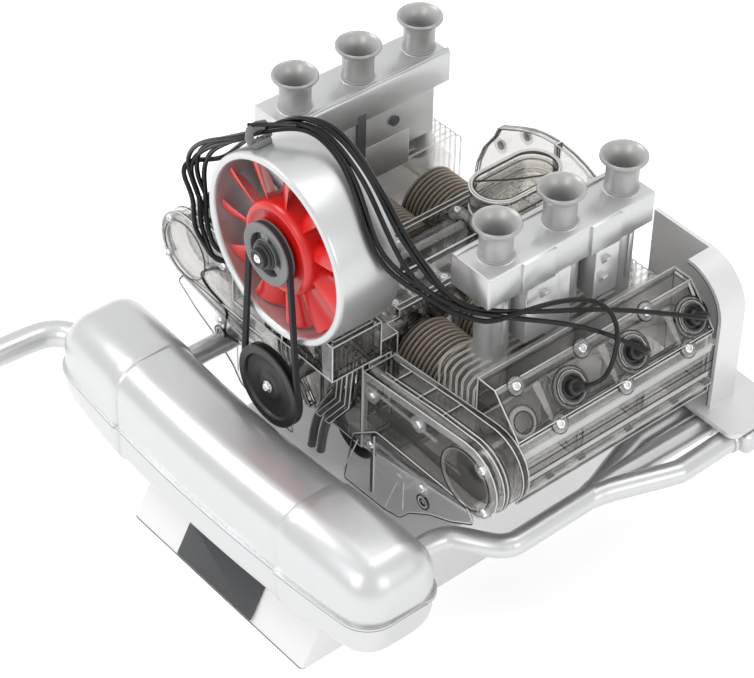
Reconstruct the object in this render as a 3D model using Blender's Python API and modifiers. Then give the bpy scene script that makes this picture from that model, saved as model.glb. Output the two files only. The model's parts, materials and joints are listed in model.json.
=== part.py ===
"""Display model of an air-cooled flat six engine at a quarter of full size.

Every sub-part is one object, built in the frame of the crank axis: X runs across the two banks,
Y runs from the fan end (minus) to the clutch end (plus), Z is up. The empty called crank_axis
carries everything at its height over the standing face, which is z = 0.
"""
import math

import bmesh
import bpy
import numpy as np
from mathutils import Matrix, Vector

MM = 0.001

# Running and seating clearances
GAP = 0.3 * MM
OVERRUN = 4.0 * MM
SINK = 0.4 * MM

# Crank train
CRANK_HEIGHT = 88.0 * MM
CYLINDER_PITCH = 29.5 * MM
BORE_RADIUS = 10.0 * MM
THROW = 8.25 * MM
ROD_LENGTH = 30.0 * MM
REST_ANGLES_DEG = (30.0, 150.0, 270.0)
ROD_THICKNESS = 4.0 * MM
ROD_BIG_RADIUS = 4.4 * MM
ROD_SMALL_RADIUS = 3.2 * MM
ROD_SHANK_WIDTH = 3.4 * MM
ROD_SHANK_THICKNESS = 2.4 * MM
PIN_PROUD = 0.15 * MM
CRANK_PIN_RADIUS = 2.6 * MM
WRIST_PIN_RADIUS = 1.6 * MM
MID_WEB = 2.2 * MM
OUTER_WEB = 2.4 * MM
WEB_RADIUS = 12.4 * MM
WEB_CHAMFER = 0.8 * MM
JOURNAL_RADIUS = 5.0 * MM
NOSE_RADIUS = 3.4 * MM
TAIL_FLANGE_RADIUS = 8.0 * MM
TAIL_FLANGE = 2.4 * MM
PISTON_CROWN = 7.0 * MM
PISTON_SKIRT = 5.0 * MM
PISTON_WALL = 1.2 * MM
CROWN_THICKNESS = 1.8 * MM
SQUISH = 0.75 * MM

# Crankcase
CASE_SIDE = 18.0 * MM
CASE_WALL = 2.5 * MM
CASE_TOP = 20.0 * MM
CASE_BOTTOM = 20.0 * MM
BAY_HEIGHT = 17.0 * MM
BULKHEAD = 4.0 * MM
SUMP_WIDTH = 20.0 * MM
SUMP_DEPTH = 45.0 * MM
SUMP_FRONT = 40.0 * MM
SUMP_BACK = 44.0 * MM
NOSE_SIDE = 24.0 * MM
NOSE_DEPTH = 15.6 * MM
NOSE_BOTTOM = 26.0 * MM
CHAIN_WINDOW = 12.5 * MM
REAR_FLANGE_RADIUS = 43.0 * MM
REAR_FLANGE = 3.0 * MM
REAR_BOSS = 4.3 * MM
FLANGE_LUG_X = 31.0 * MM
FLANGE_LUG_Z = 32.5 * MM
CRADLE_SIDE = 28.0 * MM
CRADLE_TOP = 33.6 * MM
CRADLE_FRONT = 79.0 * MM
CRADLE_BACK = 57.0 * MM
CRADLE_WALL = 2.2 * MM
RIB_WIDTH = 2.4 * MM
RIB_PROUD = 3.0 * MM
RIB_SPACING = 5.0 * MM
TOP_RAIL_WIDTH = 2.4 * MM
TOP_RAIL_HEIGHT = 3.2 * MM

# Cylinders
SPIGOT_RADIUS = 11.3 * MM
FIN_RADIUS = 14.1 * MM
BARREL_RADIUS = 11.5 * MM
FINS = 4
FIN_TIP = 0.9 * MM
BARREL_SIDES = 12

# Heads, cam housings and covers
HEAD_WIDTH = 19.7 * MM
HEAD_END = 46.2 * MM
HEAD_CORE = 15.0 * MM
HEAD_CORE_END = 42.0 * MM
HEAD_FINS = 3
HEAD_FIN = 1.5 * MM
HEAD_FIN_TOP = 24.0 * MM
HEAD_FIN_BOTTOM = 19.0 * MM
CHAMBER_DEPTH = 1.6 * MM
PORT_BOSS_RADIUS = 6.6 * MM
PORT_BOSS_TOP = 18.6 * MM
PORT_RADIUS = 3.6 * MM
INTAKE_INSET = 7.7 * MM
EXHAUST_INSET = 9.7 * MM
CAM_BOX_WIDTH = 21.7 * MM
CAM_BOX_BOTTOM = 13.2 * MM
CAM_BOX_TOP = 11.4 * MM
CAM_BOX_BACK = 47.5 * MM
CAM_BOX_WALL = 1.8 * MM
CAM_RAIL_PROUD = 1.5 * MM
CAM_RAIL_HEIGHT = 2.0 * MM
CAM_INSET = 13.2 * MM
CAM_RADIUS = 3.0 * MM
CAM_BEARING = 3.0 * MM
LOBE_RADIUS = 4.4 * MM
LOBE_LIFT = 1.8 * MM
LOBE_WIDTH = 4.0 * MM
LOBE_OFFSET = 6.0 * MM
COVER_TOP = 28.3 * MM
COVER_TOP_WIDTH = 8.6 * MM
COVER_WALL = 1.6 * MM
WELL_RADIUS = 6.2 * MM
WELL_BORE = 4.8 * MM
WELL_DEPTH = 3.4 * MM
WELL_PROUD = 0.9 * MM
WELL_SHIFT = 12.2 * MM
WELL_SLOPE_SHARE = 0.42

# Chain drive
CHAIN_WIDTH = 2.4 * MM
CHAIN_THICKNESS = 1.6 * MM
CRANK_SPROCKET = 4.85 * MM
CAM_SPROCKET = 9.7 * MM
CHAIN_RIGHT_Y = 56.4 * MM
CHAIN_LEFT_Y = 52.0 * MM
CHAIN_CASE_RADIUS = 15.6 * MM
CHAIN_CASE_ROOT_TOP = 10.5 * MM
CHAIN_CASE_ROOT_BOTTOM = 25.0 * MM
CHAIN_CASE_WALL = 1.8 * MM
CHAIN_CASE_FRONT = 61.6 * MM
CHAIN_CASE_BACK = 46.8 * MM
CAM_BORE = 4.6 * MM

# Intake
RAIL_WIDTH = 19.6 * MM
RAIL_TOP = 66.6 * MM
RAIL_BOTTOM = 53.4 * MM
RAIL_FRONT = 41.0 * MM
RAIL_BACK = 37.0 * MM
RAIL_ROUNDING = 1.0 * MM
STEP_PROUD = 1.1 * MM
STEP_FRONT = 27.0 * MM
STEP_BACK = 11.0 * MM
STEP_BOTTOM = 43.0 * MM
BODY_WIDTH = 13.0 * MM
BODY_BOTTOM = 33.0 * MM
RUNNER_RADIUS = 6.1 * MM
RUNNER_BORE = 4.3 * MM
TRUMPET_TOP = 81.0 * MM
TRUMPET_LIP = 8.7 * MM
TRUMPET_TUBE = 6.0 * MM
TRUMPET_WALL = 1.3 * MM
TRUMPET_FLARE = 6.5 * MM
LIP_ROUND = 1.4 * MM

# Fan and belt drive
FAN_HEIGHT = 60.7 * MM
HOUSING_RADIUS = 36.3 * MM
HOUSING_WALL = 3.2 * MM
HOUSING_FRONT = 82.6 * MM
HOUSING_BACK = 56.2 * MM
FAN_TIP_CLEARANCE = 0.8 * MM
FAN_HUB = 17.9 * MM
HUB_TO_PULLEY = 0.7 * MM
FAN_HUB_BACK = 69.0 * MM
FAN_BLADES = 11
BLADE_THICKNESS = 1.1 * MM
BLADE_ROOT_CHORD = 9.0 * MM
BLADE_TIP_CHORD = 14.5 * MM
BLADE_ROOT_PITCH_DEG = 52.0
BLADE_TIP_PITCH_DEG = 36.0
ALTERNATOR_RADIUS = 15.0 * MM
ALTERNATOR_FRONT = 67.5 * MM
ALTERNATOR_BACK = 50.5 * MM
STATOR_VANES = 7
STATOR_THICKNESS = 1.6 * MM
STATOR_DEPTH = 6.0 * MM
FAN_SHAFT = 2.4 * MM
FAN_SHAFT_END = 60.0 * MM
PULLEY_FRONT = 86.0 * MM
PULLEY_WIDTH = 3.8 * MM
FAN_PULLEY_RADIUS = 12.0 * MM
CRANK_PULLEY_RADIUS = 16.3 * MM
GROOVE_DEPTH = 2.6 * MM
GROOVE_FLOOR = 1.6 * MM
PULLEY_LIP = 0.5 * MM
PULLEY_DISH = 1.2 * MM
PULLEY_RIM = 3.4 * MM
PULLEY_SLOTS = 3
SLOT_INNER = 5.6 * MM
SLOT_OUTER = 7.8 * MM
SLOT_SWEEP_DEG = 78.0
FAN_NUT_RADIUS = 4.4 * MM
FAN_NUT_FRONT = 89.6 * MM
BELT_WIDTH = 1.8 * MM
BELT_THICKNESS = 2.0 * MM
CLIP_WIDTH = 6.0 * MM
CLIP_DEPTH = 5.0 * MM
CLIP_HEIGHT = 2.0 * MM

# Breather
BREATHER_RADIUS = 10.0 * MM
BREATHER_FRONT = 12.0 * MM
BREATHER_BACK = 50.0 * MM
BREATHER_TOP = 38.0 * MM
BREATHER_WALL = 1.5 * MM
BREATHER_RIM = 1.0 * MM

# Exhaust
PIPE_RADIUS = 4.4 * MM
PIPE_HEIGHT = -31.2 * MM
EXCHANGER_INSIDE = 48.0 * MM
EXCHANGER_OUTSIDE = 66.0 * MM
EXCHANGER_TOP = -26.3 * MM
EXCHANGER_BOTTOM = -35.0 * MM
EXCHANGER_FRONT = 36.0 * MM
EXCHANGER_BACK = 54.0 * MM
BRANCH_BOX_OUTSIDE = 110.0 * MM
BRANCH_BOX_FRONT = 49.0 * MM
BRANCH_BOX_BACK = 68.0 * MM
BRANCH_BOX_TOP = -26.3 * MM
BRANCH_BOX_BOTTOM = -34.5 * MM
STUB_RADIUS = 3.8 * MM

# Muffler
MUFFLER_FRONT = 121.5 * MM
MUFFLER_BACK = 85.9 * MM
MUFFLER_TOP = -7.5 * MM
MUFFLER_SEAM = -33.5 * MM
MUFFLER_BOTTOM = -56.0 * MM
MUFFLER_STRAP = 46.2 * MM
MUFFLER_END = 91.4 * MM
MUFFLER_BOW = 6.2 * MM
MUFFLER_TOP_TAPER = 5.9 * MM
MUFFLER_BOTTOM_TAPER = 4.4 * MM
MUFFLER_ROUNDING = 13.0 * MM
MUFFLER_END_ROUNDING = 11.0 * MM
TAIL_HEIGHT = -39.5 * MM
TAIL_RADIUS = 5.35 * MM

# Rear shroud
SHROUD_INSIDE = 44.0 * MM
SHROUD_OUTSIDE = 91.0 * MM
SHROUD_TOP = 35.5 * MM
SHROUD_BOTTOM = -24.0 * MM
SHROUD_ROUND = 19.0 * MM
SHROUD_FRONT = 48.6 * MM
SHROUD_BACK = 61.0 * MM
SHROUD_WALL = 1.7 * MM
SHELF_OUTSIDE = 107.5 * MM
SHELF_INSIDE = 60.0 * MM
SHELF_FRONT = 44.0 * MM
SHELF_BACK = 72.0 * MM
SHELF_THICKNESS = 2.0 * MM
SHELF_ROUND = 4.0 * MM

# Ignition
DISTRIBUTOR_X = -15.0 * MM
DISTRIBUTOR_Y = -48.2 * MM
DISTRIBUTOR_BODY = 4.6 * MM
DISTRIBUTOR_CAP = 6.6 * MM
DISTRIBUTOR_CAP_BASE = 32.0 * MM
DISTRIBUTOR_TOP = 42.0 * MM
BUNDLE_RADIUS = 2.2 * MM
LEAD_RADIUS = 1.05 * MM
BOOT_RADIUS = 3.1 * MM
BOOT_LENGTH = 15.0 * MM
BOOT_DEPTH = 5.0 * MM

# Display base
BASE_WIDTH = 102.0 * MM
BASE_FRONT = 113.0 * MM
BASE_BACK = 62.0 * MM
DECK_CLEARANCE = 5.5 * MM
BASE_FRONT_LEAN = 14.4 * MM
PEDESTAL_WIDTH = 44.0 * MM
PEDESTAL_FRONT = 38.0 * MM
PEDESTAL_BACK = 42.0 * MM
BASE_ROUNDING = 1.6 * MM

# Places that follow from the sizes above
DECK_X = THROW + ROD_LENGTH + PISTON_CROWN + SQUISH
HEAD_IN = DECK_X + GAP
HEAD_OUT = HEAD_IN + HEAD_WIDTH
CAM_IN = HEAD_OUT + GAP
CAM_OUT = CAM_IN + CAM_BOX_WIDTH
CAM_X = CAM_IN + CAM_INSET
INTAKE_X = HEAD_IN + INTAKE_INSET
EXHAUST_X = HEAD_IN + EXHAUST_INSET
SLOT = ROD_THICKNESS + 2 * PIN_PROUD + 2 * GAP
ROD_OFFSET = MID_WEB / 2 + SLOT / 2
WEB_INNER = MID_WEB / 2 + SLOT
WEB_OUTER = WEB_INNER + OUTER_WEB
CASE_FRONT = -(1.5 * CYLINDER_PITCH + BULKHEAD / 2)
CASE_BACK = 1.5 * CYLINDER_PITCH + BULKHEAD / 2
NOSE_FRONT = CASE_FRONT - NOSE_DEPTH
FLANGE_Y = CASE_BACK + REAR_BOSS
REAR_FACE = FLANGE_Y + REAR_FLANGE + GAP
STATIONS = (-CYLINDER_PITCH, 0.0, CYLINDER_PITCH)
WELLS = tuple(y + WELL_SHIFT for y in STATIONS)
BELT_Y = -(PULLEY_FRONT - PULLEY_WIDTH / 2)
CRANK_GROOVE = CRANK_PULLEY_RADIUS - GROOVE_DEPTH
FAN_GROOVE = FAN_PULLEY_RADIUS - GROOVE_DEPTH
FAN_TIP = HOUSING_RADIUS - HOUSING_WALL - FAN_TIP_CLEARANCE
FAN_HUB_FRONT = PULLEY_FRONT - PULLEY_WIDTH - HUB_TO_PULLEY
BASE_DECK = CRANK_HEIGHT + MUFFLER_BOTTOM - DECK_CLEARANCE

# Routes of the leads in the frame of the crank axis, for the right bank; X is turned about for the left
LOOP_ROUTE = (
    (-15.0, -48.2, 41.0), (-18.0, -48.6, 45.5), (-28.0, -49.6, 47.0), (-38.0, -52.5, 45.5), (-44.0, -60.0, 44.5),
    (-48.0, -68.0, 46.0), (-51.5, -74.0, 53.0), (-54.0, -77.0, 64.0), (-52.0, -78.0, 75.0),
    (-42.0, -78.0, 83.5), (-28.0, -77.0, 92.5), (-19.0, -75.0, 98.0), (-10.0, -69.0, 101.0),
    (0.0, -64.5, 100.8), (10.5, -62.5, 99.4), (21.5, -62.5, 94.6), (31.0, -62.5, 86.5),
    (37.0, -61.5, 77.0), (41.0, -59.0, 67.5), (45.5, -55.5, 59.0), (52.5, -49.5, 52.5),
    (59.5, -43.5, 49.8), (64.5, -38.0, 49.0),
)
SHORT_ROUTE = (
    (13.4, -47.4, 39.6), (18.0, -48.4, 45.4), (26.0, -49.5, 50.5), (37.0, -49.0, 51.5),
    (48.0, -47.5, 51.0), (58.0, -44.5, 49.8), (64.5, -38.0, 49.0),
)
BRANCH_ROUTES = (
    ((63.5, -39.0, 49.3), (68.5, -28.0, 50.2), (73.0, -17.0, 51.4), (78.0, -8.5, 51.2), (82.8, -3.6, 48.6),
     (87.4, -2.4, 43.6), (91.0, -4.8, 36.7), (93.2, -9.8, 30.4), (93.4, -13.6, 27.4)),
    ((63.5, -39.0, 48.2), (69.0, -24.6, 44.4), (75.0, -13.8, 41.0), (83.0, -1.6, 35.2), (89.6, 4.6, 30.8),
     (93.2, 9.0, 27.6)),
    ((63.5, -39.0, 48.8), (68.0, -22.6, 46.4), (73.4, -8.4, 43.2), (79.0, 6.0, 39.4), (85.4, 20.0, 34.6),
     (91.0, 32.6, 29.8), (93.2, 38.2, 27.4)),
)
LEAD_STEPS = 1

# Tail pipe and header routes in the frame of the crank axis
TAIL_ROUTE = ((-80.0, -99.3), (-99.8, -98.7), (-106.8, -101.1), (-111.2, -106.7), (-112.8, -114.0),
              (-113.6, -123.5), (-114.2, -131.5))
HEADER_ROUTES = (
    ((80.1, 54.0), (80.1, 38.0), (80.4, 22.0), (88.6, -4.0), (90.9, -16.4)),
    ((90.2, 54.0), (90.0, 38.0), (89.7, 20.0), (89.5, -2.0), (91.2, -16.0)),
    ((101.8, 54.0), (101.9, 42.0), (102.2, 22.0), (93.4, -4.0), (91.6, -15.4)),
)
COLLECTOR_ROUTES = {
    1: ((91.1, -7.2), (91.3, -28.0), (91.5, -47.0), (87.0, -55.0), (77.5, -61.5), (73.4, -67.0), (72.5, -74.0)),
    -1: ((91.0, -8.0), (91.0, -20.0), (85.5, -31.5), (71.0, -42.0), (61.0, -48.5), (58.0, -57.0), (58.0, -70.0)),
}

# Colours and finishes
LOOKS = {
    "smoky_clear": ((0.30, 0.30, 0.29), 0.08, 0.0, 0.35),
    "satin_silver": ((0.72, 0.73, 0.74), 0.32, 0.55, 1.0),
    "warm_grey": ((0.36, 0.36, 0.35), 0.35, 0.0, 1.0),
    "fan_red": ((0.75, 0.02, 0.02), 0.25, 0.0, 1.0),
    "pulley_grey": ((0.12, 0.12, 0.13), 0.4, 0.2, 1.0),
    "black_plastic": ((0.015, 0.015, 0.016), 0.35, 0.0, 1.0),
    "belt_rubber": ((0.02, 0.02, 0.022), 0.55, 0.0, 1.0),
    "barrel_taupe": ((0.23, 0.20, 0.17), 0.5, 0.1, 1.0),
    "bright_steel": ((0.65, 0.66, 0.68), 0.25, 1.0, 1.0),
    "white_plastic": ((0.88, 0.88, 0.88), 0.45, 0.0, 1.0),
}


def clear_scene():
    """Removes what a new Blender file holds."""
    for item in list(bpy.data.objects):
        bpy.data.objects.remove(item)


def collection(name):
    """A collection of that name under the scene's own."""
    group = bpy.data.collections.new(name)
    bpy.context.scene.collection.children.link(group)
    return group


clear_scene()
PARTS = collection("flat_six_display_model")
CUTTERS = collection("cutters")
CRANK_AXIS = bpy.data.objects.new("crank_axis", None)
PARTS.objects.link(CRANK_AXIS)
CRANK_AXIS.location = (0.0, 0.0, CRANK_HEIGHT)


def look(name):
    """The named finish as a Principled material."""
    if name in bpy.data.materials:
        return bpy.data.materials[name]
    colour, roughness, metallic, alpha = LOOKS[name]
    finish = bpy.data.materials.new(name)
    finish.use_nodes = True
    shader = finish.node_tree.nodes["Principled BSDF"]
    shader.inputs["Base Color"].default_value = (*colour, 1.0)
    shader.inputs["Roughness"].default_value = roughness
    shader.inputs["Metallic"].default_value = metallic
    shader.inputs["Alpha"].default_value = alpha
    return finish


def place(name, mesh, at=(0.0, 0.0, 0.0), turn=(0.0, 0.0, 0.0)):
    """An object for a mesh or a curve, carried by the crank axis."""
    item = bpy.data.objects.new(name, mesh)
    PARTS.objects.link(item)
    item.parent = CRANK_AXIS
    item.location = at
    item.rotation_euler = turn
    return item


def finish(item, name, smooth=True):
    """Gives a finished part its material and shading."""
    item.data.materials.clear()
    item.data.materials.append(look(name))
    if smooth:
        item.data.shade_smooth()
        item.data.set_sharp_from_angle(angle=math.radians(35))
    return item


def block(name, low, high):
    """A box between two corners."""
    low, high = Vector(low), Vector(high)
    shape = bmesh.new()
    bmesh.ops.create_cube(shape, size=1.0)
    bmesh.ops.scale(shape, vec=high - low, verts=shape.verts)
    mesh = bpy.data.meshes.new(name)
    shape.to_mesh(mesh)
    shape.free()
    return place(name, mesh, (low + high) / 2)


def rod(name, start, end, radius, sides=16):
    """A round bar between two points."""
    start, end = Vector(start), Vector(end)
    shape = bmesh.new()
    bmesh.ops.create_cone(shape, cap_ends=True, segments=sides, radius1=radius, radius2=radius,
                          depth=(end - start).length)
    mesh = bpy.data.meshes.new(name)
    shape.to_mesh(mesh)
    shape.free()
    turn = (end - start).to_track_quat("Z", "Y").to_euler()
    return place(name, mesh, (start + end) / 2, turn)


AXIS_TURNS = {
    "z": (0.0, 0.0, 0.0),
    "y": (-math.pi / 2, 0.0, 0.0),
    "x": (0.0, math.pi / 2, 0.0),
    "-x": (0.0, -math.pi / 2, 0.0),
}


def turned(name, profile, axis="z", at=(0.0, 0.0, 0.0), sides=24, ring=False):
    """A turned piece: profile points are (radius, height), from the top down the outer side."""
    count = len(profile)
    edges = [(i, i + 1) for i in range(count - 1)]
    if ring:
        edges.append((count - 1, 0))
    mesh = bpy.data.meshes.new(name)
    mesh.from_pydata([(radius, 0.0, height) for radius, height in profile], edges, [])
    item = place(name, mesh, at, AXIS_TURNS[axis])
    spin = item.modifiers.new("turn", "SCREW")
    spin.steps = sides
    spin.render_steps = sides
    spin.use_merge_vertices = True
    spin.merge_threshold = 0.1 * MM
    return item


def meshed(item):
    """The mesh object that a curve object evaluates to, with its caps welded."""
    graph = bpy.context.evaluated_depsgraph_get()
    graph.update()
    mesh = bpy.data.meshes.new_from_object(item.evaluated_get(graph))
    shape = bmesh.new()
    shape.from_mesh(mesh)
    bmesh.ops.remove_doubles(shape, verts=shape.verts, dist=0.01 * MM)
    bmesh.ops.recalc_face_normals(shape, faces=shape.faces)
    shape.to_mesh(mesh)
    shape.free()
    name, at, turn = item.name, item.location.copy(), item.rotation_euler.copy()
    bpy.data.objects.remove(item)
    return place(name, mesh, at, turn)


def slab(name, outlines, plane, low, high):
    """A flat outline, with any holes after it, thick from low to high across its plane."""
    curve = bpy.data.curves.new(name, "CURVE")
    curve.dimensions = "2D"
    curve.fill_mode = "BOTH"
    curve.extrude = (high - low) / 2
    for points in outlines:
        line = curve.splines.new("POLY")
        line.points.add(len(points) - 1)
        for knot, (a, b) in zip(line.points, points):
            knot.co = (a, b, 0.0, 1.0)
        line.use_cyclic_u = True
    middle = (low + high) / 2
    if plane == "xz":
        return meshed(place(name, curve, (0.0, middle, 0.0), (math.pi / 2, 0.0, 0.0)))
    if plane == "yz":
        return meshed(place(name, curve, (middle, 0.0, 0.0), (math.pi / 2, 0.0, math.pi / 2)))
    return meshed(place(name, curve, (0.0, 0.0, middle)))


def tube(name, points, radius, resolution=2):
    """A round tube along a line of points."""
    curve = bpy.data.curves.new(name, "CURVE")
    curve.dimensions = "3D"
    curve.bevel_depth = radius
    curve.bevel_resolution = resolution
    curve.use_fill_caps = True
    line = curve.splines.new("POLY")
    line.points.add(len(points) - 1)
    for knot, point in zip(line.points, points):
        knot.co = (*point, 1.0)
    return meshed(place(name, curve))


def smooth_route(points, steps):
    """A Catmull-Rom curve through the points, read at a few steps between each two."""
    knots = np.array(points, dtype=float)
    knots = np.vstack([2 * knots[0] - knots[1], knots, 2 * knots[-1] - knots[-2]])
    path = []
    for i in range(1, len(knots) - 2):
        a, b, c, d = knots[i - 1:i + 3]
        for t in np.arange(steps) / steps:
            path.append(0.5 * (2 * b + (c - a) * t + (2 * a - 5 * b + 4 * c - d) * t ** 2
                               + (3 * b - a - 3 * c + d) * t ** 3))
    path.append(knots[-2])
    return [tuple(point) for point in path]


def in_mm(points, side=1, height=None):
    """Route points written in millimetres, mirrored for the left bank, at one height if given."""
    if height is not None:
        return [(side * x * MM, y * MM, height) for x, y in points]
    return [(side * x * MM, y * MM, z * MM) for x, y, z in points]


def hide_as_cutter(item):
    """Moves an operand out of the model's collection."""
    PARTS.objects.unlink(item)
    CUTTERS.objects.link(item)
    item.hide_render = True
    item.display_type = "WIRE"


def combine(body, operation, others):
    """Boolean modifiers on a body, one for each other object."""
    for other in others:
        step = body.modifiers.new(f"{operation.lower()}_{other.name}", "BOOLEAN")
        step.operation = operation
        step.solver = "EXACT"
        step.object = other
        hide_as_cutter(other)
    return body


def join(body, *others):
    """Unites other solids with the body."""
    return combine(body, "UNION", others)


def cut(body, *others):
    """Cuts other solids out of the body."""
    return combine(body, "DIFFERENCE", others)


def rounded(item, width, segments=2, angle_deg=40.0):
    """Rounds a solid's sharp edges."""
    edge = item.modifiers.new("rounding", "BEVEL")
    edge.width = width
    edge.segments = segments
    edge.limit_method = "ANGLE"
    edge.angle_limit = math.radians(angle_deg)
    return item


def arc(centre, radius, start_deg, end_deg, steps):
    """Points along an arc, both ends included."""
    return [(centre[0] + radius * math.cos(math.radians(angle)), centre[1] + radius * math.sin(math.radians(angle)))
            for angle in np.linspace(start_deg, end_deg, steps + 1)]


def wrap(near, near_radius, far, far_radius, steps=10):
    """The outline of a band stretched round two circles."""
    across, up = far[0] - near[0], far[1] - near[1]
    heading = math.degrees(math.atan2(up, across))
    spread = math.degrees(math.acos((near_radius - far_radius) / math.hypot(across, up)))
    return (arc(far, far_radius, heading - spread, heading + spread, steps)
            + arc(near, near_radius, heading + spread, heading + 360 - spread, steps))


def mirrored(points, side):
    """Outline points for one bank, kept in turning order."""
    if side > 0:
        return points
    return [(-a, b) for a, b in reversed(points)]


def span(side, inside, outside):
    """The low and high X of a stretch on one bank."""
    return min(side * inside, side * outside), max(side * inside, side * outside)


def side_block(name, side, inside, outside, y, z):
    """A box on one bank, between two distances from the crank plane."""
    low, high = span(side, inside, outside)
    return block(name, (low, y[0], z[0]), (high, y[1], z[1]))


def display_base():
    """The white plinth: a low deck with a leaning front, and the pedestal the sump stands on."""
    ground = -CRANK_HEIGHT
    deck = ground + BASE_DECK
    top = -SUMP_DEPTH - GAP
    outline = [(-BASE_FRONT, ground), (BASE_BACK, ground), (BASE_BACK, deck), (-BASE_FRONT + BASE_FRONT_LEAN, deck)]
    base = slab("display_base", [outline], "yz", -BASE_WIDTH / 2, BASE_WIDTH / 2)
    rounded(base, BASE_ROUNDING)
    pedestal = block("pedestal", (-PEDESTAL_WIDTH / 2, -PEDESTAL_FRONT, deck - OVERRUN),
                     (PEDESTAL_WIDTH / 2, PEDESTAL_BACK, top))
    join(base, pedestal)
    return finish(base, "white_plastic")


def case_half(name, side):
    """Half of the crankcase, parted on the crank plane, with its nose, sump, cradle and rear flange."""
    def part(label, inside, outside, y, z):
        return side_block(f"{name}_{label}", side, inside, outside, y, z)

    seam = GAP / 2
    case = part("shell", seam, CASE_SIDE, (CASE_FRONT, FLANGE_Y + SINK), (-CASE_BOTTOM, CASE_TOP))
    case.name = name
    nose = part("nose", seam, NOSE_SIDE, (NOSE_FRONT, CASE_FRONT + SINK), (-NOSE_BOTTOM, CASE_TOP))
    sump = part("sump", seam, SUMP_WIDTH, (-SUMP_FRONT, SUMP_BACK), (-SUMP_DEPTH, -CASE_BOTTOM + SINK))
    cradle = part("cradle", seam, CRADLE_SIDE, (-CRADLE_FRONT, -CRADLE_BACK), (CASE_TOP - CRADLE_WALL, CRADLE_TOP))
    rail = part("top_rail", CASE_SIDE - TOP_RAIL_WIDTH, CASE_SIDE, (-SUMP_FRONT, FLANGE_Y + SINK),
                (CASE_TOP - SINK, CASE_TOP + TOP_RAIL_HEIGHT))
    disc = arc((0.0, 0.0), REAR_FLANGE_RADIUS, -90, 40, 10)
    corner = [(FLANGE_LUG_X, FLANGE_LUG_Z)] + arc((0.0, 0.0), REAR_FLANGE_RADIUS, 62, 88, 3)
    flange_outline = mirrored([(seam, -REAR_FLANGE_RADIUS)] + disc[1:] + corner + [(seam, REAR_FLANGE_RADIUS)], side)
    flange = slab(f"{name}_flange", [flange_outline], "xz", FLANGE_Y, FLANGE_Y + REAR_FLANGE)
    ribs = []
    for index in range(2):
        shift = index * RIB_SPACING
        start = (side * (NOSE_SIDE - RIB_WIDTH - shift), CASE_TOP - RIB_WIDTH)
        knee = (side * (NOSE_SIDE - RIB_SPACING - shift), -THROW)
        foot = (side * (CASE_SIDE - 2 * RIB_SPACING - shift), -NOSE_BOTTOM + RIB_WIDTH)
        line = [start, knee, foot]
        left = [(x - RIB_WIDTH / 2, z) for x, z in line]
        right = [(x + RIB_WIDTH / 2, z) for x, z in reversed(line)]
        ribs.append(slab(f"{name}_rib_{index}", [left + right], "xz", NOSE_FRONT - RIB_PROUD, NOSE_FRONT + SINK))
    join(case, nose, sump, cradle, rail, flange, *ribs)

    hollows = []
    for index, station in enumerate(STATIONS):
        half = (CYLINDER_PITCH - BULKHEAD) / 2
        hollows.append(part(f"bay_{index}", -OVERRUN, CASE_SIDE - CASE_WALL, (station - half, station + half),
                            (-BAY_HEIGHT, BAY_HEIGHT)))
        mouth = SPIGOT_RADIUS + 2 * GAP
        hollows.append(rod(f"{name}_mouth_{index}", (side * (CASE_SIDE - CASE_WALL - OVERRUN), station, 0.0),
                           (side * (CASE_SIDE + OVERRUN), station, 0.0), mouth, 16))
    hollows.append(part("nose_hollow", -OVERRUN, NOSE_SIDE - CASE_WALL,
                        (NOSE_FRONT + CASE_WALL, CASE_FRONT), (-NOSE_BOTTOM + CASE_WALL, CASE_TOP - CASE_WALL)))
    hollows.append(part("sump_hollow", -OVERRUN, SUMP_WIDTH - CASE_WALL,
                        (-SUMP_FRONT + CASE_WALL, SUMP_BACK - CASE_WALL),
                        (-SUMP_DEPTH + CASE_WALL, -CASE_BOTTOM - CASE_WALL / 2)))
    hollows.append(part("chain_window", CASE_SIDE, NOSE_SIDE + OVERRUN,
                        (-CHAIN_RIGHT_Y - 2 * CHAIN_WIDTH / 2, CASE_FRONT - CASE_WALL),
                        (-CHAIN_WINDOW, CHAIN_WINDOW)))
    hollows.append(part("cradle_hollow", -OVERRUN, CRADLE_SIDE - CRADLE_WALL,
                        (-CRADLE_FRONT + CRADLE_WALL, -CRADLE_BACK - CRADLE_WALL), (CASE_TOP, CRADLE_TOP + OVERRUN)))
    hollows.append(rod(f"{name}_saddle", (0.0, -CRADLE_FRONT - OVERRUN, FAN_HEIGHT),
                       (0.0, -CRADLE_BACK + OVERRUN, FAN_HEIGHT), HOUSING_RADIUS + GAP, 32))
    hollows.append(rod(f"{name}_main_bore", (0.0, NOSE_FRONT - OVERRUN, 0.0), (0.0, REAR_FACE + OVERRUN, 0.0),
                       JOURNAL_RADIUS + GAP, 12))
    cut(case, *hollows)
    return finish(case, "smoky_clear", smooth=False)


def cylinder(name, side, station):
    """A finned barrel, open at both ends, with its spigot in the crankcase mouth."""
    foot = CASE_SIDE - CASE_WALL + GAP
    flange = CASE_SIDE + GAP
    spigot = SPIGOT_RADIUS
    first = flange + FIN_TIP
    pitch = (DECK_X - first) / FINS
    profile = [(BARREL_RADIUS, DECK_X)]
    for index in range(FINS):
        middle = DECK_X - (index + 0.5) * pitch
        profile += [(FIN_RADIUS, middle), (BARREL_RADIUS, middle - pitch / 2)]
    profile += [(BARREL_RADIUS + GAP, flange), (spigot, flange), (spigot, foot), (BORE_RADIUS, foot),
                (BORE_RADIUS, DECK_X)]
    axis = "x" if side > 0 else "-x"
    barrel = turned(name, profile, axis, (0.0, station, 0.0), BARREL_SIDES, ring=True)
    return finish(barrel, "barrel_taupe")


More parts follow.
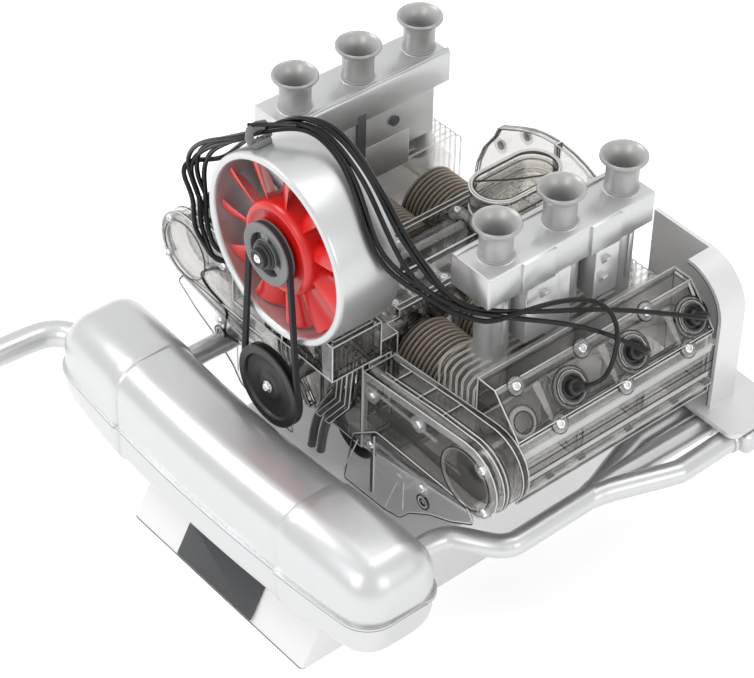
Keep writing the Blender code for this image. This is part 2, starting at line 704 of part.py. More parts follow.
def cylinder_head(name, side):
    """A bank's head: a core with cooling plates, intake bosses and three chambers."""
    head = side_block(name, side, HEAD_IN, HEAD_OUT, (-HEAD_CORE_END, HEAD_CORE_END), (-HEAD_CORE, HEAD_CORE))
    pitch = (HEAD_WIDTH - HEAD_FIN) / (HEAD_FINS - 1)
    for index in range(HEAD_FINS):
        inside = HEAD_IN + index * pitch
        join(head, side_block(f"{name}_fin_{index}", side, inside, inside + HEAD_FIN, (-HEAD_END, HEAD_END),
                              (-HEAD_FIN_BOTTOM, HEAD_FIN_TOP)))
    for index, station in enumerate(STATIONS):
        above = (side * INTAKE_X, station, HEAD_FIN_TOP + OVERRUN)
        seat = (side * INTAKE_X, station, PORT_BOSS_TOP)
        root = (side * INTAKE_X, station, HEAD_CORE - SINK)
        port = (side * INTAKE_X, station, HEAD_CORE - HEAD_CORE / 2)
        join(head, rod(f"{name}_boss_{index}", root, seat, PORT_BOSS_RADIUS, 8))
        cut(head, rod(f"{name}_seat_{index}", seat, above, PORT_BOSS_RADIUS + GAP, 8),
            rod(f"{name}_port_{index}", port, above, PORT_RADIUS, 8),
            rod(f"{name}_chamber_{index}", (side * (HEAD_IN - OVERRUN), station, 0.0),
                (side * (HEAD_IN + CHAMBER_DEPTH), station, 0.0), BORE_RADIUS - GAP, 12))
        exhaust = (side * EXHAUST_X, station, -HEAD_FIN_BOTTOM)
        join(head, rod(f"{name}_exhaust_{index}", (side * EXHAUST_X, station, -HEAD_CORE + SINK), exhaust,
                       STUB_RADIUS + GAP, 8))
    return finish(head, "smoky_clear", smooth=False)


def cam_housing(name, side):
    """The trough outside a head that carries its camshaft, open at the top."""
    y_range = (-HEAD_END, CAM_BOX_BACK)
    box = side_block(name, side, CAM_IN, CAM_OUT, y_range, (-CAM_BOX_BOTTOM, CAM_BOX_TOP))
    rail = side_block(f"{name}_rail", side, CAM_OUT - CAM_BOX_WALL, CAM_OUT + CAM_RAIL_PROUD, y_range,
                      (-CAM_BOX_BOTTOM - CAM_RAIL_PROUD, -CAM_BOX_BOTTOM + CAM_RAIL_HEIGHT))
    join(box, rail)
    edges = [-HEAD_END + CAM_BOX_WALL, -CYLINDER_PITCH / 2, CYLINDER_PITCH / 2, CAM_BOX_BACK - CAM_BOX_WALL]
    half = CAM_BEARING / 2
    for index in range(3):
        front = edges[index] + (half if index else 0.0)
        back = edges[index + 1] - (half if index < 2 else 0.0)
        cut(box, side_block(f"{name}_hollow_{index}", side, CAM_IN + CAM_BOX_WALL, CAM_OUT - CAM_BOX_WALL,
                            (front, back), (-CAM_BOX_BOTTOM + CAM_BOX_WALL, CAM_BOX_TOP + OVERRUN)))
    cut(box, rod(f"{name}_bore", (side * CAM_X, -HEAD_END - OVERRUN, 0.0),
                 (side * CAM_X, CYLINDER_PITCH, 0.0), CAM_RADIUS + GAP, 12))
    return finish(box, "smoky_clear", smooth=False)


def cover_frame(side):
    """The sloped face of a valve cover: its foot, its top and the way it looks, on one bank."""
    foot = Vector((side * CAM_OUT, 0.0, CAM_BOX_TOP + GAP))
    top = Vector((side * (CAM_IN + COVER_TOP_WIDTH), 0.0, COVER_TOP))
    slope = (top - foot).normalized()
    outward = Vector((side * abs(slope.z), 0.0, abs(slope.x)))
    return foot, top, outward


def well_point(side, station, depth):
    """A point on a plug well's axis, that far outside the cover's face."""
    foot, top, outward = cover_frame(side)
    return foot.lerp(top, WELL_SLOPE_SHARE) + Vector((0.0, station, 0.0)) + outward * depth


def valve_cover(name, side):
    """The sloped cover over a camshaft, with the wells that the plug boots go into."""
    seat = CAM_BOX_TOP + GAP
    wall = COVER_WALL
    outer = [(CAM_IN, seat), (CAM_OUT, seat), (CAM_OUT, seat + wall), (CAM_IN + COVER_TOP_WIDTH, COVER_TOP),
             (CAM_IN, COVER_TOP)]
    inner = [(CAM_IN + wall, seat - OVERRUN), (CAM_OUT - 2 * wall, seat - OVERRUN), (CAM_OUT - 2 * wall, seat + wall),
             (CAM_IN + COVER_TOP_WIDTH - wall / 2, COVER_TOP - wall), (CAM_IN + wall, COVER_TOP - wall)]
    back = WELLS[-1] + WELL_RADIUS + GAP
    cover = slab(name, [mirrored(outer, side)], "xz", -HEAD_END, back)
    cut(cover, slab(f"{name}_hollow", [mirrored(inner, side)], "xz", -HEAD_END + wall, back - wall))
    for index, station in enumerate(WELLS):
        join(cover, rod(f"{name}_well_{index}", well_point(side, station, -WELL_DEPTH),
                        well_point(side, station, WELL_PROUD), WELL_RADIUS, 12))
        cut(cover, rod(f"{name}_bore_{index}", well_point(side, station, -WELL_DEPTH - OVERRUN),
                       well_point(side, station, WELL_PROUD + OVERRUN), WELL_BORE, 12))
    return finish(cover, "smoky_clear", smooth=False)


def chain_case_outline(grow):
    """The side view of a chain case, grown or shrunk all round."""
    top, bottom = CHAIN_CASE_ROOT_TOP + grow, -CHAIN_CASE_ROOT_BOTTOM - grow
    start = NOSE_SIDE + GAP if grow >= 0 else NOSE_SIDE - OVERRUN
    turn = arc((CAM_X, 0.0), CHAIN_CASE_RADIUS + grow, -66, 94, 10)
    return [(start, bottom)] + turn + [(start, top)]


def chain_housing(name, side):
    """The case round one chain, open towards the crankcase nose."""
    front, back = -CHAIN_CASE_FRONT, -CHAIN_CASE_BACK
    case = slab(name, [mirrored(chain_case_outline(0.0), side)], "xz", front, back)
    hollow = slab(f"{name}_hollow", [mirrored(chain_case_outline(-CHAIN_CASE_WALL), side)], "xz",
                  front + CHAIN_CASE_WALL, back - CHAIN_CASE_WALL)
    bore = rod(f"{name}_bore", (side * CAM_X, back - CHAIN_CASE_WALL - OVERRUN / 2, 0.0),
               (side * CAM_X, back + OVERRUN, 0.0), CAM_BORE, 12)
    cut(case, hollow, bore)
    return finish(case, "smoky_clear", smooth=False)


def band(name, near, near_radius, far, far_radius, thickness, middle, width, steps=8):
    """A closed belt or chain round two wheels, a clearance off both."""
    inner = wrap(near, near_radius + GAP, far, far_radius + GAP, steps)
    outer = wrap(near, near_radius + GAP + thickness, far, far_radius + GAP + thickness, steps)
    return slab(name, [outer, inner], "xz", middle - width / 2, middle + width / 2)


def timing_chain(name, side, middle):
    """The chain from the crank to one camshaft."""
    chain = band(name, (0.0, 0.0), CRANK_SPROCKET, (side * CAM_X, 0.0), CAM_SPROCKET, CHAIN_THICKNESS, middle,
                 CHAIN_WIDTH)
    return finish(chain, "bright_steel")


def intake_manifold(name, side):
    """A bank's intake rail with its three runners down to the head."""
    inside, outside = INTAKE_X - RAIL_WIDTH / 2, INTAKE_X + RAIL_WIDTH / 2
    rail = side_block(name, side, inside, outside, (-RAIL_FRONT, RAIL_BACK), (RAIL_BOTTOM, RAIL_TOP))
    rounded(rail, RAIL_ROUNDING)
    step = side_block(f"{name}_step", side, INTAKE_X, outside + STEP_PROUD, (-STEP_FRONT, STEP_BACK),
                      (STEP_BOTTOM, RAIL_TOP - RAIL_ROUNDING))
    body = side_block(f"{name}_body", side, INTAKE_X - RAIL_WIDTH / 2 + RAIL_ROUNDING, INTAKE_X + BODY_WIDTH / 2,
                      (STATIONS[0], STATIONS[2]), (BODY_BOTTOM, RAIL_BOTTOM + SINK))
    join(rail, step, body)
    for index, station in enumerate(STATIONS):
        top = (side * INTAKE_X, station, RAIL_TOP + OVERRUN)
        foot = (side * INTAKE_X, station, PORT_BOSS_TOP + GAP)
        join(rail, rod(f"{name}_runner_{index}", foot, (side * INTAKE_X, station, RAIL_BOTTOM + RUNNER_RADIUS / 2),
                       RUNNER_RADIUS, 14))
        cut(rail, rod(f"{name}_throat_{index}", (side * INTAKE_X, station, PORT_BOSS_TOP - OVERRUN), top,
                      RUNNER_BORE, 10))
    return finish(rail, "satin_silver")


def trumpet(name, side, station):
    """One flared intake trumpet, open right through."""
    foot = RAIL_TOP + GAP
    outer = [(TRUMPET_LIP - LIP_ROUND / 2, TRUMPET_TOP), (TRUMPET_LIP, TRUMPET_TOP - LIP_ROUND / 2)]
    neck = TRUMPET_TOP - TRUMPET_FLARE
    outer += [(TRUMPET_TUBE + (TRUMPET_LIP - TRUMPET_TUBE) / 3, neck + TRUMPET_FLARE / 2), (TRUMPET_TUBE, neck),
              (TRUMPET_TUBE, foot)]
    bore = TRUMPET_TUBE - TRUMPET_WALL
    inner = [(bore, foot), (bore, neck)]
    bell = turned(name, outer + inner, "z", (side * INTAKE_X, station, 0.0), 12, ring=True)
    return finish(bell, "warm_grey")


def fan_housing():
    """The ring round the fan with the alternator held in it by stator vanes, and the clip for the leads."""
    axis = (0.0, 0.0, FAN_HEIGHT)
    inner = HOUSING_RADIUS - HOUSING_WALL
    ring = turned("fan_housing", [(HOUSING_RADIUS, -HOUSING_BACK), (HOUSING_RADIUS, -HOUSING_FRONT),
                                  (inner, -HOUSING_FRONT), (inner, -HOUSING_BACK)], "y", axis, 32, ring=True)
    bore = FAN_SHAFT + GAP
    shell = [(0.0, -ALTERNATOR_BACK), (ALTERNATOR_RADIUS, -ALTERNATOR_BACK), (ALTERNATOR_RADIUS, -ALTERNATOR_FRONT),
             (bore, -ALTERNATOR_FRONT), (bore, -FAN_SHAFT_END + GAP), (0.0, -FAN_SHAFT_END + GAP)]
    alternator = turned("alternator", shell, "y", axis, 16)
    join(ring, alternator)
    root, tip = ALTERNATOR_RADIUS - 2 * SINK, inner + HOUSING_WALL / 2
    reach, half = (tip + root) / 2, (tip - root) / 2
    for index in range(STATOR_VANES):
        angle = 2 * math.pi * (index + 0.5) / STATOR_VANES
        vane = block(f"stator_{index}", (-STATOR_THICKNESS / 2, 0.0, -half), (STATOR_THICKNESS / 2, STATOR_DEPTH, half))
        vane.location = (reach * math.sin(angle), -HOUSING_BACK - STATOR_DEPTH / 2, FAN_HEIGHT + reach * math.cos(angle))
        vane.rotation_euler = (0.0, angle, 0.0)
        join(ring, vane)
    return finish(ring, "satin_silver")


def blade(index):
    """One fan blade: a cambered sheet, twisted from root to tip, then thickened."""
    rows, columns = 3, 3
    radii = np.linspace(FAN_HUB - 2 * BLADE_THICKNESS, FAN_TIP, rows)
    chords = np.linspace(BLADE_ROOT_CHORD, BLADE_TIP_CHORD, rows)
    pitches = np.radians(np.linspace(BLADE_ROOT_PITCH_DEG, BLADE_TIP_PITCH_DEG, rows))
    share = np.linspace(-0.5, 0.5, columns)
    middle = -(FAN_HUB_FRONT + FAN_HUB_BACK) / 2
    turn = 2 * math.pi * index / FAN_BLADES
    points = []
    for radius, chord, pitch in zip(radii, chords, pitches):
        for part in share:
            camber = chord * 0.12 * (1 - (2 * part) ** 2)
            sideways = -chord * part * math.cos(pitch) - camber * math.sin(pitch)
            along = middle + chord * part * math.sin(pitch) - camber * math.cos(pitch)
            lift = math.sqrt(radius ** 2 - sideways ** 2)
            points.append((sideways * math.cos(turn) + lift * math.sin(turn), along,
                           lift * math.cos(turn) - sideways * math.sin(turn)))
    faces = [(row * columns + col, row * columns + col + 1, (row + 1) * columns + col + 1, (row + 1) * columns + col)
             for row in range(rows - 1) for col in range(columns - 1)]
    mesh = bpy.data.meshes.new(f"blade_{index}")
    mesh.from_pydata(points, [], faces)
    sheet = place(f"blade_{index}", mesh, (0.0, 0.0, FAN_HEIGHT))
    skin = sheet.modifiers.new("thickness", "SOLIDIFY")
    skin.thickness = BLADE_THICKNESS
    skin.offset = 0.0
    return sheet


def fan():
    """The bladed cooling fan with its domed hub and shaft."""
    dome = FAN_HUB * 0.62
    profile = [(0.0, -FAN_SHAFT_END), (FAN_SHAFT, -FAN_SHAFT_END), (FAN_SHAFT, -FAN_HUB_BACK + OUTER_WEB),
               (FAN_HUB, -FAN_HUB_BACK), (FAN_HUB, -FAN_HUB_FRONT + OUTER_WEB),
               (FAN_HUB - OUTER_WEB / 3, -FAN_HUB_FRONT + OUTER_WEB / 3), (dome, -FAN_HUB_FRONT),
               (FAN_SHAFT, -FAN_HUB_FRONT), (FAN_SHAFT, -PULLEY_FRONT - PULLEY_LIP), (0.0, -PULLEY_FRONT - PULLEY_LIP)]
    profile[2] = (FAN_SHAFT, -FAN_HUB_BACK)
    wheel = turned("fan", profile, "y", (0.0, 0.0, FAN_HEIGHT), 16)
    join(wheel, *[blade(index) for index in range(FAN_BLADES)])
    return finish(wheel, "fan_red")


def pulley(name, radius, bore, height):
    """A V-belt pulley with a dished face."""
    front, back = -PULLEY_FRONT, -PULLEY_FRONT + PULLEY_WIDTH
    middle = (front + back) / 2
    floor = radius - GROOVE_DEPTH
    hub = bore + 2 * PULLEY_LIP + PULLEY_DISH
    profile = [(bore, back), (radius, back), (radius, back - PULLEY_LIP), (floor, middle + GROOVE_FLOOR / 2 + GAP),
               (floor, middle - GROOVE_FLOOR / 2 - GAP), (radius, front + PULLEY_LIP), (radius, front),
               (radius - PULLEY_RIM, front), (radius - PULLEY_RIM, front + PULLEY_DISH), (hub, front + PULLEY_DISH),
               (hub, front), (bore, front)]
    return turned(name, profile, "y", (0.0, 0.0, height), 20, ring=True)


def fan_pulley():
    """The fan's pulley, with three curved slots in its web."""
    wheel = pulley("fan_pulley", FAN_PULLEY_RADIUS, FAN_SHAFT + GAP, FAN_HEIGHT)
    for index in range(PULLEY_SLOTS):
        start = 360.0 * index / PULLEY_SLOTS
        outline = (arc((0.0, FAN_HEIGHT), SLOT_OUTER, start, start + SLOT_SWEEP_DEG, 3)
                   + arc((0.0, FAN_HEIGHT), SLOT_INNER, start + SLOT_SWEEP_DEG, start, 3))
        cut(wheel, slab(f"slot_{index}", [outline], "xz", -PULLEY_FRONT - OVERRUN,
                        -PULLEY_FRONT + PULLEY_WIDTH + OVERRUN))
    nut = turned("fan_nut", [(FAN_SHAFT + GAP, -PULLEY_FRONT + SINK), (FAN_NUT_RADIUS, -PULLEY_FRONT + SINK),
                             (FAN_NUT_RADIUS, -FAN_NUT_FRONT), (0.0, -FAN_NUT_FRONT),
                             (0.0, -PULLEY_FRONT - PULLEY_LIP - GAP),
                             (FAN_SHAFT + GAP, -PULLEY_FRONT - PULLEY_LIP - GAP)], "y",
                 (0.0, 0.0, FAN_HEIGHT), 10, ring=True)
    join(wheel, nut)
    return finish(wheel, "pulley_grey")


def breather_box():
    """The clear breather on top of the crankcase, a box with round ends, open below."""
    def stadium(radius):
        front = (0.0, BREATHER_FRONT + BREATHER_RADIUS)
        back = (0.0, BREATHER_BACK - BREATHER_RADIUS)
        return arc(back, radius, 0, 180, 6) + arc(front, radius, 180, 360, 6)

    box = slab("breather_box", [stadium(BREATHER_RADIUS)], "xy", CASE_TOP + GAP, BREATHER_TOP)
    hollow = slab("breather_hollow", [stadium(BREATHER_RADIUS - BREATHER_WALL)], "xy", CASE_TOP - OVERRUN,
                  BREATHER_TOP - BREATHER_WALL)
    tray = slab("breather_tray", [stadium(BREATHER_RADIUS - BREATHER_RIM)], "xy", BREATHER_TOP - BREATHER_RIM / 2,
                BREATHER_TOP + OVERRUN)
    cut(box, hollow, tray)
    return finish(box, "smoky_clear", smooth=False)


def exhaust_manifold(name, side):
    """A bank's heat exchanger with its stubs to the head, three headers and the collector pipe."""
    exchanger = side_block(name, side, EXCHANGER_INSIDE, EXCHANGER_OUTSIDE, (-EXCHANGER_FRONT, EXCHANGER_BACK),
                           (EXCHANGER_BOTTOM, EXCHANGER_TOP))
    rounded(exchanger, BASE_ROUNDING, 1)
    branch_box = side_block(f"{name}_branch_box", side, EXCHANGER_OUTSIDE - OVERRUN, BRANCH_BOX_OUTSIDE,
                            (BRANCH_BOX_FRONT, BRANCH_BOX_BACK), (BRANCH_BOX_BOTTOM, BRANCH_BOX_TOP))
    join(exchanger, branch_box)
    for index, station in enumerate(STATIONS):
        join(exchanger, rod(f"{name}_stub_{index}", (side * EXHAUST_X, station, EXCHANGER_TOP - SINK),
                            (side * EXHAUST_X, station, -HEAD_FIN_BOTTOM - GAP), STUB_RADIUS, 8))
    for index, route in enumerate(HEADER_ROUTES):
        path = smooth_route(in_mm(route, side, PIPE_HEIGHT), 2)
        join(exchanger, tube(f"{name}_header_{index}", path, PIPE_RADIUS))
    route = in_mm(COLLECTOR_ROUTES[side], side, PIPE_HEIGHT)
    last = route[-1][0]
    route.append((last, muffler_back(abs(last) + PIPE_RADIUS) + 2 * GAP, PIPE_HEIGHT))
    join(exchanger, tube(f"{name}_collector", smooth_route(route, 2), PIPE_RADIUS))
    return finish(exchanger, "satin_silver")


def muffler_back(x):
    """Where the muffler's back stands at a distance from its middle: the body is bowed towards its ends."""
    return -MUFFLER_BACK + MUFFLER_BOW * (x / MUFFLER_END) ** 2


def muffler_ring(x):
    """The muffler's section at a distance from its middle: a box with round corners, 16 points."""
    share = max(0.0, (abs(x) - MUFFLER_END + MUFFLER_END_ROUNDING) / MUFFLER_END_ROUNDING)
    inset = MUFFLER_END_ROUNDING * (1 - math.sqrt(max(0.0, 1 - share ** 2)))
    taper = max(0.0, (abs(x) - MUFFLER_STRAP) / (MUFFLER_END - MUFFLER_STRAP)) ** 2
    corner = MUFFLER_ROUNDING - inset
    back = muffler_back(x) - inset - corner
    front = muffler_back(x) + MUFFLER_BACK - MUFFLER_FRONT + inset + corner
    top = MUFFLER_TOP - MUFFLER_TOP_TAPER * taper - inset - corner
    bottom = MUFFLER_BOTTOM + MUFFLER_BOTTOM_TAPER * taper + inset + corner
    points = []
    for start, y, z in ((0, back, top), (90, front, top), (180, front, bottom), (270, back, bottom)):
        points += arc((y, z), corner, start, start + 90, 3)
    return points


def muffler_half(name, low, high):
    """One half of the muffler, parted on its seam: a bowed body with rounded, tapered ends."""
    turn_in = [math.sin(math.radians(angle)) for angle in (0, 32, 60, 86)]
    stations = [MUFFLER_END - MUFFLER_END_ROUNDING * (1 - part) for part in turn_in]
    stations = [-x for x in reversed(stations)] + [-MUFFLER_STRAP, 0.0, MUFFLER_STRAP] + stations
    points = [(x, y, z) for x in stations for y, z in muffler_ring(x)]
    rings = len(stations)
    around = len(points) // rings
    faces = [(r * around + k, r * around + (k + 1) % around, (r + 1) * around + (k + 1) % around, (r + 1) * around + k)
             for r in range(rings - 1) for k in range(around)]
    faces += [tuple(range(around))[::-1], tuple((rings - 1) * around + k for k in range(around))]
    mesh = bpy.data.meshes.new(name)
    mesh.from_pydata(points, [], faces)
    shape = bmesh.new()
    shape.from_mesh(mesh)
    bmesh.ops.recalc_face_normals(shape, faces=shape.faces)
    shape.to_mesh(mesh)
    shape.free()
    half = place(name, mesh)
    reach = MUFFLER_END + OVERRUN
    keep_out = block(f"{name}_parting", (-reach, -MUFFLER_FRONT - OVERRUN, low),
                     (reach, -MUFFLER_BACK + MUFFLER_BOW + OVERRUN, high))
    return cut(half, keep_out)


def muffler():
    """The two halves of the muffler, with the tail pipe on the lower one."""
    upper = muffler_half("muffler_upper", MUFFLER_BOTTOM - OVERRUN, MUFFLER_SEAM + GAP / 2)
    lower = muffler_half("muffler_lower", MUFFLER_SEAM - GAP / 2, MUFFLER_TOP + OVERRUN)
    tail = tube("tail_pipe", smooth_route(in_mm(TAIL_ROUTE, 1, TAIL_HEIGHT), 2), TAIL_RADIUS)
    join(lower, tail)
    return finish(upper, "satin_silver"), finish(lower, "satin_silver")


def shroud_outline(shrink, past=0.0):
    """The rear shroud's face, shrunk on its outer side and run past on its inner and lower sides."""
    round_radius = SHROUD_ROUND - shrink
    centre = (SHROUD_OUTSIDE - SHROUD_ROUND, SHROUD_TOP - SHROUD_ROUND)
    return ([(SHROUD_INSIDE - past, SHROUD_BOTTOM - past), (SHROUD_OUTSIDE - shrink, SHROUD_BOTTOM - past)]
            + arc(centre, round_radius, 0, 90, 10) + [(SHROUD_INSIDE - past, SHROUD_TOP - shrink)])


def rear_shroud():
    """The sheet at the clutch end of the right bank, with its turned rim and the shelf it stands on."""
    plate = slab("rear_shroud", [shroud_outline(0.0)], "xz", SHROUD_FRONT, SHROUD_BACK)
    hollow = slab("shroud_hollow", [shroud_outline(SHROUD_WALL, OVERRUN)], "xz", SHROUD_FRONT - OVERRUN,
                  SHROUD_BACK - SHROUD_WALL)
    edge = SHROUD_OUTSIDE - SHROUD_ROUND
    trim = block("shroud_trim", (SHROUD_INSIDE - OVERRUN, SHROUD_FRONT - OVERRUN, SHROUD_TOP - SHROUD_ROUND),
                 (edge, SHROUD_BACK - SHROUD_WALL, SHROUD_TOP + OVERRUN))
    cut(plate, hollow, trim)
    shelf_top = SHROUD_BOTTOM + SINK
    corner = SHELF_ROUND
    outline = ([(SHELF_INSIDE, SHELF_BACK), (SHELF_INSIDE, SHELF_FRONT)]
               + arc((SHELF_OUTSIDE - corner, SHELF_FRONT + corner), corner, -90, 0, 5)
               + [(SHELF_OUTSIDE, SHELF_BACK)])
    shelf = slab("shroud_shelf", [outline], "xy", shelf_top - SHELF_THICKNESS, shelf_top)
    join(plate, shelf)
    return finish(plate, "satin_silver")


def ignition_harness():
    """The distributor with its cap, and the six leads to the plug boots, clipped over the fan housing."""
    spot = Vector((DISTRIBUTOR_X, DISTRIBUTOR_Y, 0.0))
    lift = Vector((0.0, 0.0, 1.0))
    profile = [(0.0, DISTRIBUTOR_TOP), (DISTRIBUTOR_CAP * 0.6, DISTRIBUTOR_TOP),
               (DISTRIBUTOR_CAP, (DISTRIBUTOR_TOP + DISTRIBUTOR_CAP_BASE) / 2), (DISTRIBUTOR_CAP, DISTRIBUTOR_CAP_BASE),
               (DISTRIBUTOR_BODY, DISTRIBUTOR_CAP_BASE), (DISTRIBUTOR_BODY, CASE_TOP + GAP), (0.0, CASE_TOP + GAP)]
    cap = turned("ignition_harness", profile, "z", spot, 12)
    join(cap, tube("long_bundle", smooth_route(in_mm(LOOP_ROUTE), LEAD_STEPS), BUNDLE_RADIUS, 1))
    join(cap, tube("short_bundle", smooth_route(in_mm(SHORT_ROUTE, -1), LEAD_STEPS), BUNDLE_RADIUS, 1))
    for side in (1, -1):
        for index, (route, station) in enumerate(zip(BRANCH_ROUTES, WELLS)):
            tip = well_point(side, station, BOOT_LENGTH - BOOT_DEPTH)
            path = smooth_route(in_mm(route, side) + [tuple(tip)], LEAD_STEPS) + [tuple(well_point(side, station, 0.0))]
            join(cap, tube(f"lead_{side}_{index}", path, LEAD_RADIUS, 0))
            join(cap, rod(f"boot_{side}_{index}", well_point(side, station, -BOOT_DEPTH), tip, BOOT_RADIUS, 8))
    return finish(cap, "black_plastic")


def crank_section(name, profile):
    """A turned section of the built-up crankshaft."""
    section = turned(name, profile, "y", (0.0, 0.0, 0.0), 12)
    return finish(section, "bright_steel")


def web_profile(low, high):
    """A crank web from the back face down to the front face, with small chamfers."""
    return [(0.0, high), (WEB_RADIUS - WEB_CHAMFER, high), (WEB_RADIUS, high - WEB_CHAMFER),
            (WEB_RADIUS, low + WEB_CHAMFER), (WEB_RADIUS - WEB_CHAMFER, low), (0.0, low)]


def crankshaft():
    """Seven sections: the nose, the tail, two journals and the web between the throws of each pair."""
    first, middle, last = STATIONS
    web = web_profile(first - WEB_OUTER, first - WEB_INNER)
    seats = []
    for centre in (-CHAIN_LEFT_Y, -CHAIN_RIGHT_Y):
        seats += [(NOSE_RADIUS, centre + CHAIN_WIDTH / 2), (CRANK_SPROCKET, centre + CHAIN_WIDTH / 2),
                  (CRANK_SPROCKET, centre - CHAIN_WIDTH / 2), (NOSE_RADIUS, centre - CHAIN_WIDTH / 2)]
    nose_end = -PULLEY_FRONT + PULLEY_DISH
    front = web[:5] + [(JOURNAL_RADIUS, first - WEB_OUTER), (JOURNAL_RADIUS, CASE_FRONT - GAP),
                       (NOSE_RADIUS, CASE_FRONT - GAP)] + seats + [(NOSE_RADIUS, nose_end), (0.0, nose_end)]
    crank_section("crankshaft_nose", front)
    for index, station in enumerate(STATIONS):
        crank_section(f"crank_web_{index + 1}", web_profile(station - MID_WEB / 2, station + MID_WEB / 2))
    for index, (near, far) in enumerate(((first, middle), (middle, last))):
        back_web = web_profile(far - WEB_OUTER, far - WEB_INNER)
        front_web = web_profile(near + WEB_INNER, near + WEB_OUTER)
        crank_section(f"crank_journal_{index + 1}",
                      back_web[:5] + [(JOURNAL_RADIUS, far - WEB_OUTER), (JOURNAL_RADIUS, near + WEB_OUTER)]
                      + front_web[1:])
    tail_web = web_profile(last + WEB_INNER, last + WEB_OUTER)
    tail = [(0.0, REAR_FACE + TAIL_FLANGE), (TAIL_FLANGE_RADIUS, REAR_FACE + TAIL_FLANGE),
            (TAIL_FLANGE_RADIUS, REAR_FACE), (JOURNAL_RADIUS, REAR_FACE),
            (JOURNAL_RADIUS, last + WEB_OUTER)] + tail_web[1:]
    crank_section("crankshaft_tail", tail)


def camshaft(name, side, sprocket_y):
    """A bank's camshaft with six lobes and its chain wheel."""
    half = CHAIN_WIDTH / 2
    profile = [(0.0, CYLINDER_PITCH + LOBE_OFFSET + LOBE_WIDTH), (CAM_RADIUS, CYLINDER_PITCH + LOBE_OFFSET + LOBE_WIDTH),
               (CAM_RADIUS, sprocket_y + half), (CAM_SPROCKET, sprocket_y + half), (CAM_SPROCKET, sprocket_y - half),
               (0.0, sprocket_y - half)]
    shaft = turned(name, profile, "y", (side * CAM_X, 0.0, 0.0), 12)
    for index, station in enumerate(STATIONS):
        for which, shift in enumerate((-LOBE_OFFSET, LOBE_OFFSET)):
            angle = math.radians(120.0 * index + 100.0 * which)
            x, z = side * CAM_X + LOBE_LIFT * math.cos(angle), LOBE_LIFT * math.sin(angle)
            middle = station + shift
            join(shaft, rod(f"{name}_lobe_{index}_{which}", (x, middle - LOBE_WIDTH / 2, z),
                            (x, middle + LOBE_WIDTH / 2, z), LOBE_RADIUS, 8))
    return finish(shaft, "bright_steel")


def wrist_x(angle_deg):
    """How far out the wrist pin stands with its crank pin at that angle."""
    angle = math.radians(angle_deg)
    return THROW * math.cos(angle) + math.sqrt(ROD_LENGTH ** 2 - (THROW * math.sin(angle)) ** 2)


def piston(name, side, station, angle_deg):
    """A hollow piston with its wrist pin, its origin on the pin."""
    radius = BORE_RADIUS - GAP
    bore = radius - PISTON_WALL
    profile = [(0.0, PISTON_CROWN), (radius, PISTON_CROWN), (radius, -PISTON_SKIRT), (bore, -PISTON_SKIRT),
               (bore, PISTON_CROWN - CROWN_THICKNESS), (0.0, PISTON_CROWN - CROWN_THICKNESS)]
    at = (side * wrist_x(angle_deg), station, 0.0)
    crown = turned(name, profile, "x" if side > 0 else "-x", at, BARREL_SIDES)
    reach = bore + PISTON_WALL / 2
    join(crown, rod(f"{name}_pin", (at[0], station - reach, 0.0), (at[0], station + reach, 0.0), WRIST_PIN_RADIUS, 8))
    return finish(crown, "bright_steel")


def conrod(name, side, station, angle_deg):
    """A rod from its wrist pin eye to the big end, which holds its crank pin."""
    angle = math.radians(angle_deg)
    wrist = Vector((side * wrist_x(angle_deg), station, 0.0))
    crank = Vector((side * THROW * math.cos(angle), station, side * THROW * math.sin(angle)))
    along = (crank - wrist).normalized()
    middle = station + side * -ROD_OFFSET
    half = Vector((0.0, ROD_THICKNESS / 2, 0.0))
    wrist.y = crank.y = middle
    body = rod(name, wrist - half, wrist + half, ROD_SMALL_RADIUS, 10)
    big = rod(f"{name}_big", crank - half, crank + half, ROD_BIG_RADIUS, 12)
    proud = Vector((0.0, ROD_THICKNESS / 2 + PIN_PROUD, 0.0))
    pin = rod(f"{name}_pin", crank - proud, crank + proud, CRANK_PIN_RADIUS, 8)
    start, end = wrist + along * ROD_SMALL_RADIUS / 2, crank - along * ROD_BIG_RADIUS / 2
    shank = block(f"{name}_shank", (-ROD_SHANK_THICKNESS / 2, -ROD_SHANK_WIDTH / 2, -(end - start).length / 2),
                  (ROD_SHANK_THICKNESS / 2, ROD_SHANK_WIDTH / 2, (end - start).length / 2))
    across = Vector((0.0, 1.0, 0.0))
    frame = Matrix((across, along.cross(across), along)).transposed().to_4x4()
    shank.rotation_euler = frame.to_euler()
    shank.location = (start + end) / 2
    join(body, big, pin, shank)
    hole = rod(f"{name}_eye", wrist - proud * 2, wrist + proud * 2, WRIST_PIN_RADIUS + GAP, 10)
    cut(body, hole)
    return finish(body, "bright_steel")


